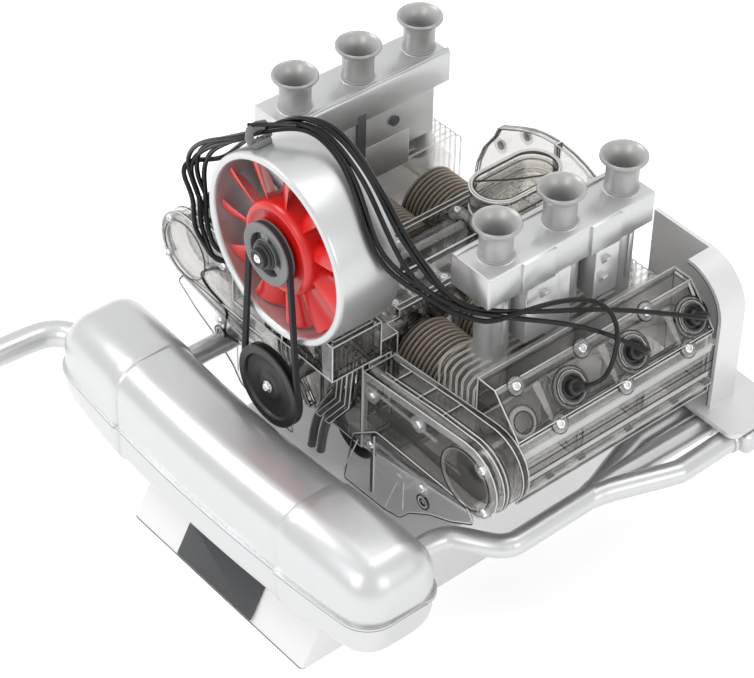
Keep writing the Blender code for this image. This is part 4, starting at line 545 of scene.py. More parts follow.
def painted_edge_lines(name, mesh):
    """Thin bars along a clear solid's sharp edges: a painted highlight on ridges, and painted shade beneath
    them and in hollows.
    """
    shell = bmesh.new()
    shell.from_mesh(mesh)
    kinds = {"light": [], "dark": []}
    for edge in shell.edges:
        if len(edge.link_faces) != 2:
            continue
        turn = math.degrees(edge.calc_face_angle_signed(0.0))
        if abs(turn) < SHARP_TURN:
            continue
        out = (edge.link_faces[0].normal + edge.link_faces[1].normal).normalized()
        ends = (*edge.verts[0].co, *edge.verts[1].co, *out)
        # Ridges get a painted highlight bar; every sharp edge gets a painted shade bar, sunk beneath ridges and
        # raised in hollows
        if turn > 0:
            kinds["light"].append((*ends, -0.05))
        kinds["dark"].append((*ends, -0.75 if turn > 0 else 0.05))
    shell.free()
    for kind, thick in (("light", PAINTED_HIGHLIGHT_LINE), ("dark", PAINTED_SHADE_LINE)):
        if not kinds[kind]:
            continue
        rows = np.array(kinds[kind])
        start, end, out = rows[:, :3] / MM, rows[:, 3:6] / MM, rows[:, 6:9]
        along = end - start
        along /= np.maximum(np.linalg.norm(along, axis=1), 1e-9)[:, None]
        side = np.cross(along, out)
        ring = np.array([(1.0, 0.0), (0.0, 1.0), (-1.0, 0.0), (0.0, -1.0)]) * thick
        spread = (ring[None, :, :1] * side[:, None] + ring[None, :, 1:] * out[:, None]
                  + (out * rows[:, 9:])[:, None])
        points = np.stack([start[:, None] + spread, end[:, None] + spread], 1)
        corner = np.array([[0, 1, 5, 4], [1, 2, 6, 5], [2, 3, 7, 6], [3, 0, 4, 7], [3, 2, 1, 0], [4, 5, 6, 7]])
        faces = (corner[None] + 8 * np.arange(len(rows))[:, None, None]).reshape(-1, 4)
        shape = points.reshape(-1, 3) - [0.0, 0.0, CRANK_Z], faces.tolist()
        piece(f"{name}_edges_{kind}", shape, f"edge_{kind}", sharp=60.0)


def clear_copy(name, node, bevel=0.3):
    """A clear CAD node's solid with rounded edges, and beads of painted highlight and painted shade along them.
    """
    painted_edge_lines(name, cad_copy(name, node, "clear", bevel).data)


def sides():
    """The names and signs of the two banks."""
    return (("left", -1), ("right", 1))


def box_of(node):
    """A CAD node's low and high corners in millimetres from the crank axis."""
    low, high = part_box(node)
    drop = np.array([0.0, 0.0, CRANK_Z])
    return np.array(low) / MM - drop, np.array(high) / MM - drop


def screw_shape(at, axis="z", head=1.9):
    """A pan head screw: a domed turned head with a round recess."""
    tall = 1.3
    profile = [(0.0, tall * 0.45), (head * 0.34, tall * 0.45), (head * 0.42, tall * 0.95), (head * 0.62, tall),
               (head * 0.9, tall * 0.72), (head, tall * 0.3), (head, -0.6), (0.0, -0.6)]
    return lathe(profile, axis, at, 16)


def boss_shape(at, axis="z", *, tall, deep):
    """A round collar about a screw."""
    inner, outer = 2.2, 3.3
    profile = [(inner, tall - 0.3), (inner + 0.25, tall), (outer - 0.3, tall), (outer, tall - 0.3),
               (outer, -deep), (inner, -deep)]
    return lathe(profile, axis, at, 24, closed=True)


def ring_line(radius, axis, at, thick=0.3):
    """A thin ring: a small square section turned at a radius."""
    half = thick * 0.8
    square = [(radius - half, -half), (radius + half, -half), (radius + half, half), (radius - half, half)]
    return lathe(square, axis, at, 36, closed=True)


def painted_highlight_and_shade_lines(path, closed=False, gap=(0.0, 0.0, -0.6)):
    """A painted highlight line and a painted shade line beside it, as two thin tubes along the same path."""
    path = np.array(path, float)
    return (sweep(path, ring_of(PAINTED_HIGHLIGHT_LINE, 4), closed=closed),
            sweep(path + np.array(gap), ring_of(PAINTED_SHADE_LINE, 4), closed=closed))


def slope_basis(side):
    """The basis of a valve cover's sloped face: up the slope, along the bank, and outwards."""
    foot, top = np.array([side * 88.0, 11.7]), np.array([side * 74.9, 28.3])
    up = (top - foot) / np.linalg.norm(top - foot)
    out = np.array([side * abs(up[1]), abs(up[0])])
    return np.array([[up[0], 0.0, up[1]], [0.0, 1.0, 0.0], [out[0], 0.0, out[1]]])


def slope_point(side, share, station, out=0.0):
    """A point on the sloped face, a share of the way up it, some way along the bank and off it."""
    basis = slope_basis(side)
    foot = np.array([side * 88.0, 0.0, 11.7])
    return foot + basis[0] * share * 21.1 + np.array([0.0, station, 0.0]) + basis[2] * out


class FlatSixSizes(bpy.types.PropertyGroup):
    """Sizes of the visible pieces that a user would change."""

    blades: IntProperty(name="Fan blades", description="How many blades the fan has", default=11, min=5, max=17)
    fins: IntProperty(name="Cylinder fins", description="How many fins a barrel has", default=13, min=4, max=16)
    lead_radius: FloatProperty(name="Lead radius", description="Radius of an ignition lead", default=0.0009,
                               unit="LENGTH")
    lip: FloatProperty(name="Trumpet lip", description="Radius of a trumpet's lip", default=0.0087,
                       unit="LENGTH")
    seam_lip: FloatProperty(name="Muffler seam", description="How far the muffler's seam stands out",
                            default=0.001, unit="LENGTH")


def tone(label, words, default):
    """A colour property."""
    return FloatVectorProperty(name=label, description=words, subtype="COLOR", default=default, min=0.0,
                               max=1.0)


class FlatSixColours(bpy.types.PropertyGroup):
    """Colours of the finishes."""

    silver: tone("Silver", "Satin silver paint of the fan housing, intake and exhaust", (0.62, 0.625, 0.63))
    clear: tone("Clear", "Smoky clear plastic, seen straight on", (0.82, 0.81, 0.79))
    clear_edge: tone("Clear edge", "Smoky clear plastic, seen along its surface", (0.13, 0.11, 0.095))
    fan: tone("Fan", "Red plastic of the fan", (0.74, 0.012, 0.010))
    trumpet: tone("Trumpets", "Grey of the intake trumpets", (0.44, 0.44, 0.435))
    pulley: tone("Pulley", "Grey of the fan pulley", (0.20, 0.205, 0.21))
    black: tone("Black", "Black plastic, leads and belt", (0.006, 0.006, 0.007))
    barrel: tone("Barrels", "Taupe of the cylinders", (0.42, 0.365, 0.30))
    base: tone("Base", "White of the plinth", (0.93, 0.93, 0.93))
    label: tone("Label", "Dark grey of the bare label plate", (0.045, 0.048, 0.052))


# Where the lamps point, in metres over the standing face
LAMP_AIM = (0.0, 0.0, 0.09)


def background_rays(tree):
    """A node that is one for the rays to which the white background shows: camera, transmission and glossy."""
    ray = tree.nodes.new("ShaderNodeLightPath")
    shown = ray.outputs["Is Camera Ray"]
    for label in ("Is Transmission Ray", "Is Glossy Ray"):
        either = tree.nodes.new("ShaderNodeMath")
        either.operation = "MAXIMUM"
        tree.links.new(shown, either.inputs[0])
        tree.links.new(ray.outputs[label], either.inputs[1])
        shown = either.outputs[0]
    return either


class FLATSIX_OT_stage(bpy.types.Operator):
    """Sets up the camera, the pale floor, the world and the lamps"""

    bl_idname = "flat_six.stage"
    bl_label = "Stage"

    def execute(self, context):
        scene = context.scene
        scene.view_settings.view_transform = "Standard"
        scene.cycles.transparent_max_bounces = 48
        camera = bpy.data.objects.new("camera", bpy.data.cameras.new("camera"))
        scene.collection.objects.link(camera)
        camera.location = (0.55278, -0.514386, 0.636038 + CRANK_Z * MM)
        camera.rotation_euler = [math.radians(turn) for turn in (48.7498, -0.981, 49.9102)]
        camera.data.lens = 126.955
        camera.data.sensor_width = 36.0
        camera.data.clip_end = 20.0
        scene.camera = camera

        world = bpy.data.worlds.new("studio")
        scene.world = world
        world.use_nodes = True
        tree = world.node_tree
        shown = background_rays(tree)
        level = tree.nodes.new("ShaderNodeMapRange")
        set_inputs(level, To_Min=0.72, To_Max=1.0)
        tree.links.new(shown.outputs[0], level.inputs["Value"])
        background = tree.nodes["Background"]
        set_inputs(background, Color=(1.0, 1.0, 1.0, 1.0))
        tree.links.new(level.outputs["Result"], background.inputs["Strength"])

        span = np.linspace(-2.5, 2.5, 3)
        points = np.stack([*np.meshgrid(span, span), np.zeros((3, 3))], -1) / MM - [0.0, 0.0, CRANK_Z]
        cells, faces = grid(points)
        mesh = bpy.data.meshes.new("floor")
        mesh.from_pydata((cells * MM + [0.0, 0.0, CRANK_Z * MM - 0.00002]).tolist(), [], faces)
        floor = bpy.data.objects.new("floor", mesh)
        scene.collection.objects.link(floor)
        material, tree, shader = new_material("pale_floor")
        set_inputs(shader, Base_Color=(0.9, 0.9, 0.9, 1.0), Roughness=0.7, Specular_IOR_Level=0.1,
                   Emission_Color=(1.0, 1.0, 1.0, 1.0))
        shown = background_rays(tree)
        lift = tree.nodes.new("ShaderNodeMath")
        lift.operation = "MULTIPLY"
        lift.inputs[1].default_value = 0.45
        tree.links.new(shown.outputs[0], lift.inputs[0])
        tree.links.new(lift.outputs[0], shader.inputs["Emission Strength"])
        mesh.materials.append(material)

        for name, place, size, power in (("key_lamp", (-0.7, -0.5, 1.1), 0.5, 5.2),
                                         ("top_lamp", (0.15, 0.35, 1.3), 0.55, 2.2),
                                         ("side_lamp", (1.15, 0.1, 0.55), 0.5, 1.4),
                                         ("front_lamp", (0.3, -1.15, 0.85), 0.6, 3.0)):
            lamp = bpy.data.lights.new(name, "AREA")
            lamp.size = size
            lamp.energy = power
            thing = bpy.data.objects.new(name, lamp)
            scene.collection.objects.link(thing)
            thing.location = place
            way = Vector(LAMP_AIM) - Vector(place)
            thing.rotation_euler = way.to_track_quat("-Z", "Y").to_euler()
        return {"FINISHED"}


class FLATSIX_OT_plinth(bpy.types.Operator):
    """Builds the white plinth with its bare label plate"""

    bl_idname = "flat_six.plinth"
    bl_label = "Plinth"

    def execute(self, context):
        low, high = box_of("display_base")
        deck = low[2] + 26.5
        outline = softened([(low[1], low[2]), (high[1], low[2]), (high[1], deck), (low[1] + 14.4, deck)], 2.6)
        body = plate(outline, low[0], high[0], 1.6, "x")
        body[0][body[0][:, 2] < low[2] + 2.61, 2] = low[2]
        foot = bar((-22.0, -38.0, deck - 2.0), (22.0, 42.0, high[2]), 0.5, 1.6)
        rim = bar((-24.5, -40.5, deck - 2.0), (24.5, 44.5, deck + 1.2), 0.5, 2.0)
        piece("plinth_body", body, "white", node="display_base")
        piece("plinth_pedestal", merged(foot, rim), "white")
        lean = np.array([14.4, 26.5]) / math.hypot(14.4, 26.5)
        basis = np.array([[1.0, 0.0, 0.0], [0.0, lean[0], lean[1]], [0.0, -lean[1], lean[0]]])
        card = softened([(-23.4, 1.6), (21.2, 1.6), (21.2, 17.0), (-23.4, 17.0)], 0.6)
        piece("plinth_label", plate(card, 0.0, 0.35, 0.12, basis, (0.0, low[1], low[2])), "label")
        return {"FINISHED"}


class FLATSIX_OT_crankcase(bpy.types.Operator):
    """Builds the clear crankcase halves with rails, tubes, a hose, front covers with painted highlight and
    painted shade lines, bosses and screws
    """

    bl_idname = "flat_six.crankcase"
    bl_label = "Crankcase"

    def execute(self, context):
        screws, collars = [], []
        for label, side in sides():
            clear_copy(f"crankcase_shell_{label}", f"crankcase_{label}", 0.35)
            rail = [bar((side * 6.0 - 1.0, -44.0, 20.2), (side * 6.0 + 1.0, 11.0, 23.0), 0.4),
                    bar((side * 22.0 - 1.2, -60.0, 18.0), (side * 22.0 + 1.2, -46.5, 24.5), 0.4)]
            for station in (-14.75, 14.75):
                rail.append(bar((min(side * 2.0, side * 17.0), station - 0.9, 20.1),
                                (max(side * 2.0, side * 17.0), station + 0.9, 22.4), 0.35))
                rail.append(bar((side * 19.6 - 1.4, station - 1.0, -18.0),
                                (side * 19.6 + 1.4, station + 1.0, 17.0), 0.35))
            piece(f"crankcase_ribs_{label}", rail, "rib")
            for station in (-38.0, -14.75, 14.75, 46.0):
                at = (side * 13.2, station, 20.2)
                screws.append(screw_shape((at[0], at[1], at[2] + 1.2), head=1.7))
                collars.append(boss_shape(at, tall=1.4, deep=0.1))
            for turn in (-52.0, -25.0, 35.0, 62.0):
                spot = arc((0.0, 0.0), 39.0, turn, turn, 0)[0]
                at = (side * spot[0], 53.8, spot[1])
                screws.append(screw_shape((at[0], at[1] + 1.0, at[2]), "y"))
                collars.append(boss_shape(at, "y", tall=1.0, deep=0.1))
        tubes = [tube(curved(route, 6), 1.7, 14) for route in (
            ((10.0, -62.0, -7.6), (5.0, -62.4, -16.7), (0.9, -62.6, -25.5), (-1.6, -62.6, -34.0),
             (-3.6, -62.4, -44.8)),
            ((15.6, -62.0, -6.1), (10.2, -62.4, -15.9), (6.1, -62.6, -24.6), (3.6, -62.6, -33.1),
             (1.6, -62.4, -43.8)))]
        piece("crankcase_front_tubes", tubes, "smoke")
        hose = curved([(11.5, -58.5, -12.9), (8.6, -58.5, -19.9), (8.7, -58.5, -25.4), (11.4, -58.5, -29.9),
                       (17.0, -58.5, -32.9), (22.6, -58.5, -32.4), (27.0, -58.5, -28.0)], 6)
        piece("crankcase_front_hose", tube(hose, 2.0, 14), "rubber", slot="black_plastic")
        for label, side in sides():
            cover = softened([(15.0, -47.0), (38.0, -46.0), (46.5, -43.8), (51.2, -37.9), (62.0, -30.3),
                              (73.5, -25.0), (84.7, -17.7), (80.5, -11.9), (32.5, -12.2),
                              (20.0, -22.0)], 1.5, 3)
            piece(f"front_cover_panel_{label}", flipped(plate(cover, -62.2, -61.4, 0.2, "y"), side), "panel")
            rim = np.column_stack([cover[:, 0], np.full(len(cover), -62.3), cover[:, 1]])
            # On the front covers the pale rim line, rib lines, ring and slot are painted highlights; the dark
            # rim line, rings and bar are painted shade
            bright, deep = painted_highlight_and_shade_lines(rim, True)
            lights, painted_shades = [bright], [deep, ring_line(2.9, "y", (58.7, -62.4, -27.0), 0.45),
                                       ring_line(1.5, "y", (58.7, -62.4, -27.0), 0.4),
                                       bar((30.2, -62.9, -43.0), (31.4, -62.1, -15.0), 0.2)]
            lights += [bar((31.5, -62.7, -43.0), (31.9, -62.1, -15.0), 0.1),
                       ring_line(2.2, "y", (58.7, -62.5, -27.0), 0.3),
                       bar((44.8, -62.7, -24.4), (47.0, -62.1, -23.2), 0.3, 0.55, "y"),
                       tube(np.array([(48.2, -62.4, -25.5), (48.0, -62.4, -38.9)]), 0.22, 6),
                       tube(np.array([(44.3, -62.4, -28.4), (38.6, -62.4, -44.6)]), 0.22, 6),
                       tube(np.array([(14.8, -62.4, -44.0), (22.6, -62.4, -23.4)]), 0.3, 6)]
            piece(f"front_cover_lights_{label}", banked(lights, side), "edge_light")
            piece(f"front_cover_darks_{label}", banked(painted_shades, side), "edge_dark")
        piece("crankcase_screws", screws, "screw")
        piece("crankcase_collars", collars, "rib")
        return {"FINISHED"}


def web_profile(low, high):
    """The half outline of a crank web with softened rims."""
    radius = 12.4
    return [(0.0, high), (radius - 1.0, high), (radius - 0.3, high - 0.2), (radius, high - 0.7),
            (radius, low + 0.7), (radius - 0.3, low + 0.2), (radius - 1.0, low), (0.0, low)]


def toothed(radius, teeth, depth):
    """A sprocket's outline: a circle whose radius rises and falls with each tooth."""
    steps = 6
    turn = np.arange(teeth * steps) * 2 * math.pi / (teeth * steps)
    reach = radius - depth * 0.5 * (1 - np.cos(teeth * turn))
    return np.stack([reach * np.cos(turn), reach * np.sin(turn)], -1)


class FLATSIX_OT_crank_train(bpy.types.Operator):
    """Builds the crankshaft sections, the crank pulley, the pistons and the connecting rods"""

    bl_idname = "flat_six.crank_train"
    bl_label = "Crank train"

    def execute(self, context):
        first, last = STATIONS[0], STATIONS[2]
        nose = web_profile(first - 8.4, first - 6.0)[:-1]
        nose += [(5.0, first - 8.4), (5.0, -46.5), (3.4, -46.5), (3.4, -84.8), (0.0, -84.8)]
        wheels = [plate(toothed(4.85, 11, 0.7), y - 1.1, y + 1.1, 0.2, "y") for y in (-52.0, -56.4)]
        piece("crankshaft_nose_turned", merged(lathe(nose, "y"), *wheels), "steel", "crankshaft",
              "crankshaft_nose")
        for number, station in enumerate(STATIONS, 1):
            piece(f"crank_web_{number}_turned", lathe(web_profile(station - 1.1, station + 1.1), "y"), "steel",
                  "crankshaft", f"crank_web_{number}")
        for number, (near, far) in enumerate(zip(STATIONS, STATIONS[1:]), 1):
            middle = web_profile(far - 8.4, far - 6.0)[:-1]
            middle += [(5.0, far - 8.4), (5.0, near + 8.4)] + web_profile(near + 6.0, near + 8.4)[1:]
            piece(f"crank_journal_{number}_turned", lathe(middle, "y"), "steel", "crankshaft",
                  f"crank_journal_{number}")
        low, high = box_of("crankshaft_tail")
        tail = [(0.0, high[1]), (7.6, high[1]), (8.0, high[1] - 0.4), (8.0, high[1] - 2.4),
                (5.0, high[1] - 2.4), (5.0, last + 8.4)] + web_profile(last + 6.0, last + 8.4)[1:]
        piece("crankshaft_tail_turned", lathe(tail, "y"), "steel", "crankshaft", "crankshaft_tail")

        rim = [(15.7, -82.2), (16.3, -82.6), (16.3, -83.0), (13.9, -83.6), (13.9, -84.6), (16.3, -85.2),
               (16.3, -85.7), (16.0, -86.0), (13.2, -86.0), (12.7, -85.6), (12.4, -84.9), (10.2, -84.3),
               (7.0, -84.2), (6.2, -84.4), (5.6, -84.9), (5.0, -85.1), (2.2, -85.1), (2.2, -82.2)]
        piece("crank_pulley_turned", lathe(rim, "y", steps=72, closed=True), "black", "crankshaft",
              "crank_pulley")
        bolt = [(0.0, -86.3), (0.5, -86.3), (0.7, -87.0), (1.2, -87.0), (1.6, -86.6), (1.7, -85.9),
                (2.3, -85.8), (2.4, -85.4), (0.0, -85.4)]
        piece("crank_pulley_bolt", lathe(bolt, "y", steps=24), "screw", "crankshaft")

        for number in range(1, 7):
            low, high = box_of(f"piston_{number}")
            side = -1 if number < 4 else 1
            crown = high[0] if side > 0 else -low[0]
            station = STATIONS[(number - 1) % 3]
            rings = []
            for groove in (1.2, 2.6, 4.0):
                rings += [(9.7, crown - groove), (9.35, crown - groove), (9.35, crown - groove - 0.5),
                          (9.7, crown - groove - 0.5)]
            skirt = [(0.0, crown - 0.4), (5.0, crown - 0.4), (6.5, crown), (9.4, crown),
                     (9.7, crown - 0.3)] + rings
            skirt += [(9.7, crown - 12.0), (8.5, crown - 12.0), (8.5, crown - 5.8), (0.0, crown - 5.8)]
            pin = lathe([(0.0, -8.6), (1.6, -8.6), (1.6, 8.6), (0.0, 8.6)], "y", (crown - 7.0, station, 0.0),
                        16)
            shape = merged(lathe(skirt, "x", (0.0, station, 0.0), 40), pin)
            piece(f"piston_{number}_turned", flipped(shape, side), "steel", f"piston_{number}",
                  f"piston_{number}")
            cad_copy(f"conrod_{number}_forged", f"conrod_{number}", "steel", 0.25)
        return {"FINISHED"}


class FLATSIX_OT_cylinders(bpy.types.Operator):
    """Builds the six finned barrels, with near-black rings of painted shade in the gaps between the fins"""

    bl_idname = "flat_six.cylinders"
    bl_label = "Cylinders"

    def execute(self, context):
        fins = context.scene.flat_six_sizes.fins
        start, end = 19.2, DECK_X
        pitch = (end - start) / fins
        profile = [(10.0, 15.8), (11.3, 15.8), (11.3, 18.4), (12.6, 18.4)]
        for index in range(fins):
            foot = start + index * pitch
            profile += [(11.6, foot), (11.6, foot + pitch * 0.56), (13.9, foot + pitch * 0.6),
                        (14.1, foot + pitch * 0.66), (14.1, foot + pitch * 0.88), (13.9, foot + pitch * 0.94)]
        profile += [(11.6, end - 0.05), (10.0, end - 0.05)]
        for number in range(1, 7):
            side = -1 if number < 4 else 1
            barrel = lathe(profile, "x", (0.0, STATIONS[(number - 1) % 3], 0.0), 64, closed=True)
            piece(f"cylinder_{number}_finned", flipped(barrel, side), "barrel", ENGINE, f"cylinder_{number}")
            # Near-black rings filling the gaps between the fins: painted shade
            painted_fin_gap_shades = [lathe([(11.7, foot), (13.3, foot), (13.3, foot + pitch * 0.5),
                            (11.7, foot + pitch * 0.5)], "x",
                           (0.0, STATIONS[(number - 1) % 3], 0.0), 64, closed=True)
                     for foot in start + 0.05 + np.arange(fins) * pitch]
            piece(f"cylinder_{number}_fin_gaps_painted_shade", banked(painted_fin_gap_shades, side), "groove")
        return {"FINISHED"}


class FLATSIX_OT_heads(bpy.types.Operator):
    """Builds the clear cylinder heads with their cooling plates, painted highlight lines along each plate's
    edges, and intake collars
    """

    bl_idname = "flat_six.heads"
    bl_label = "Cylinder heads"

    def execute(self, context):
        for label, side in sides():
            inside = 46.3
            core = bar((inside, -42.0, -15.0), (66.0, 42.0, 15.0), 0.8)
            piece(f"cylinder_head_core_{label}", flipped(core, side), "inner", node=f"cylinder_head_{label}")
            fins, painted_crest_highlights = [], []
            for index in range(7):
                x = inside + index * 3.0
                outline = softened([(-46.2, -19.0), (46.2, -19.0), (46.2, 21.5), (43.0, 24.0), (-43.0, 24.0),
                                    (-46.2, 21.5)], 1.2)
                fins.append(plate(outline, x, x + 0.8, 0.2, "x"))
                # Two thin pale lines along each plate's outline: painted highlights on its crest
                for edge in (x + 0.1, x + 0.75):
                    line = np.column_stack([np.full(len(outline), edge), outline])
                    painted_crest_highlights.append(sweep(line, ring_of(0.16, 4), closed=True))
            piece(f"cylinder_head_fins_{label}", banked(fins, side), "inner")
            piece(f"cylinder_head_crests_{label}", banked(painted_crest_highlights, side), "edge_light")
            seats = [lathe([(4.3, 24.6), (6.9, 24.6), (7.6, 23.8), (7.6, 15.0), (4.3, 15.0)], "z",
                           (side * INTAKE_X, station, 0.0), 32, closed=True) for station in STATIONS]
            piece(f"cylinder_head_seats_{label}", seats, "rib")
        return {"FINISHED"}


class FLATSIX_OT_cam_boxes(bpy.types.Operator):
    """Builds the clear camshaft housings with their rails, pale bands of painted highlight, thin bars and clips
    in painted shade, and the camshafts
    """

    bl_idname = "flat_six.cam_boxes"
    bl_label = "Camshaft housings"

    def execute(self, context):
        for label, side in sides():
            clear_copy(f"cam_housing_shell_{label}", f"cam_housing_{label}")
            trims = [bar((87.6, -46.0, 9.2), (90.6, 47.4, 10.8), 0.35),
                     bar((87.8, -45.6, 2.4), (89.3, 47.0, 3.6), 0.3),
                     bar((87.8, -46.0, -4.6), (89.8, 47.2, -3.2), 0.3),
                     bar((87.4, -46.2, -9.6), (91.0, 47.4, -7.9), 0.35),
                     bar((66.4, -46.2, -16.2), (69.4, 47.4, -13.2), 0.4)]
            clips = []
            for station in (-37.0, -22.0, 1.0, 24.0, 40.0):
                trims.append(bar((89.6, station - 2.2, -10.6), (91.8, station + 2.2, -7.2), 0.4))
                # The clips take the dark grey of painted shade
                clips.append(bar((89.4, station + 3.4, -9.2), (91.2, station + 6.4, -8.2), 0.2))
            # Pale bands along the housing's side: painted highlights
            painted_highlight_strips = [bar((89.0, -45.6, low), (89.4, 47.0, high), 0.15)
                      for low, high in ((4.6, 8.4), (-7.2, -5.2))]
            painted_highlight_strips += [bar((90.4, -45.6, 8.7), (90.8, 47.0, 9.1), 0.1),
                       bar((90.6, -45.8, -10.2), (91.1, 47.2, -9.7), 0.15)]
            piece(f"cam_housing_strips_{label}", banked(painted_highlight_strips, side), "painted_glint")
            # Two thin near-black bars along the housing's side: painted shade lines
            rails = [bar((90.3, -45.6, -3.1), (90.7, 47.0, -2.5), 0.2),
                     bar((90.4, -45.6, 0.9), (90.8, 47.0, 1.4), 0.2)]
            piece(f"cam_housing_rails_{label}", banked(rails, side), "edge_dark")
            piece(f"cam_housing_clips_{label}", banked(clips, side), "dark")
            piece(f"cam_housing_trims_{label}", banked(trims, side), "rib")
            front = box_of(f"camshaft_{label}")[0][1]
            shaft = [(0.0, 39.5), (2.7, 39.5), (3.0, 39.2), (3.0, front + 0.1), (0.0, front + 0.1)]
            shapes = [lathe(shaft, "y", (side * CAM_X, 0.0, 0.0), 32),
                      plate(toothed(9.7, 24, 0.8), front + 0.1, front + 2.3, 0.2, "y",
                            (side * CAM_X, 0.0, 0.0))]
            for index, station in enumerate(STATIONS):
                for which, shift in enumerate((-6.0, 6.0)):
                    turn = math.radians(120.0 * index + 100.0 * which)
                    nose = np.array([math.cos(turn), math.sin(turn)]) * 3.6
                    lobe = band_line((0.0, 0.0), 4.0, tuple(nose), 2.4, 10)
                    shapes.append(plate(lobe, station + shift - 2.0, station + shift + 2.0, 0.3, "y",
                                        (side * CAM_X, 0.0, 0.0)))
            piece(f"camshaft_{label}_ground", shapes, "steel", f"camshaft_{label}",
                  f"camshaft_{label}")
        return {"FINISHED"}


class FLATSIX_OT_valve_covers(bpy.types.Operator):
    """Builds the clear sloped valve covers with their plug wells, ribs and screws, and rings of painted shade
    round the wells, the eye and the screws
    """

    bl_idname = "flat_six.valve_covers"
    bl_label = "Valve covers"

    def execute(self, context):
        for label, side in sides():
            clear_copy(f"valve_cover_shell_{label}", f"valve_cover_{label}", 0.35)
            basis = slope_basis(side)
            trims, screws, painted_shades = [], [], []
            for station in WELLS:
                # Dark rings round each plug well, the eye and the screws: painted shade
                painted_shades += [ring_line(radius, basis, slope_point(side, 0.42, station, out), thick)
                          for radius, out, thick in ((7.7, 0.1, 0.35), (6.45, 1.0, 0.25), (4.7, 1.4, 0.45))]
                ring = [(4.8, 1.6), (5.2, 1.9), (5.8, 1.7), (6.1, 0.9), (6.9, 0.8), (7.4, 0.3), (7.4, -0.6),
                        (4.8, -0.6)]
                trims.append(lathe(ring, basis, slope_point(side, 0.42, station), 40, closed=True))
            eye = [(4.0, 0.9), (4.4, 1.2), (5.3, 1.0), (5.8, 0.3), (5.8, -0.5), (4.0, -0.5)]
            trims.append(lathe(eye, basis, slope_point(side, 0.32, -41.0), 32, closed=True))
            painted_shades += [ring_line(radius, basis, slope_point(side, 0.32, -41.0, out), 0.3)
                      for radius, out in ((6.1, 0.1), (3.9, 0.8))]
            painted_shades += [ring_line(3.5, basis, slope_point(side, share, station, 0.3), 0.3)
                      for share, row in ((0.91, (-38.0, -7.0, 24.0)), (-0.01, (-27.2, 4.5, 35.2)))
                      for station in row]
            piece(f"valve_cover_lines_{label}", painted_shades, "edge_dark")
            for station in (-38.0, -7.0, 24.0):
                spot = slope_point(side, 0.91, station)
                trims.append(boss_shape(spot, basis, tall=1.3, deep=0.6))
                screws.append(screw_shape(slope_point(side, 0.91, station, 0.5), basis))
                rib = softened([(0.10, -0.9), (0.80, -2.4), (0.80, 1.2), (0.10, 0.9)], 0.2, 2) * [21.1, 1.0]
                trims.append(plate(rib, 0.0, 0.7, 0.3, basis, slope_point(side, 0.0, station + 8.5)))
            for station in (-27.2, 4.5, 35.2):
                spot = slope_point(side, -0.01, station)
                trims.append(boss_shape(spot, basis, tall=1.3, deep=1.8))
                screws.append(screw_shape(slope_point(side, -0.01, station, 0.5), basis))
            trims.append(plate(softened([(19.4, -46.0), (20.9, -46.0), (20.9, 47.6), (19.4, 47.6)], 0.4), 0.0,
                               0.8, 0.3, basis, slope_point(side, 0.0, 0.0)))
            trims.append(flipped(bar((66.6, -46.0, 28.2), (68.0, 47.8, 29.4), 0.3), side))
            piece(f"valve_cover_trims_{label}", trims, "rib")
            piece(f"valve_cover_screws_{label}", screws, "screw")
        return {"FINISHED"}


def chain_shape(near_radius, far, far_radius, middle, links):
    """A roller chain: two rows of oval plates and a roller at each pin, at even steps round the loop."""
    line = even(band_line((0.0, 0.0), near_radius, far, far_radius), links)
    after = np.roll(line, -1, 0)
    centre, along = (line + after) / 2, after - line
    pitch = np.linalg.norm(along, axis=1)[:, None]
    along = along / pitch
    across = np.stack([-along[:, 1], along[:, 0]], -1)
    oval = band_line((-0.5, 0.0), 0.34, (0.5, 0.0), 0.34001, 3)
    shapes = []
    for offset, thick, narrow in ((-1.05, 0.35, 1.0), (0.7, 0.35, 1.0), (-0.6, 1.2, 0.55)):
        flat = (centre[:, None] + along[:, None] * oval[None, :, :1] * pitch[:, None]
                + across[:, None] * oval[None, :, 1:] * 2.2 * narrow)
        count, corners = flat.shape[:2]
        low = np.stack([flat[..., 0], np.full((count, corners), middle + offset), flat[..., 1]], -1)
        high = low + [0.0, thick, 0.0]
        index = np.arange(corners)
        ring = np.stack([index, np.roll(index, -1), np.roll(index, -1) + corners, index + corners], -1).tolist()
        cell = ring + [index[::-1].tolist(), (index + corners).tolist()]
        points = np.stack([low, high], 1).reshape(-1, 3)
        faces = [[corner + 2 * corners * link for corner in face] for link in range(count) for face in cell]
        shapes.append((points, faces))
    return merged(*shapes)


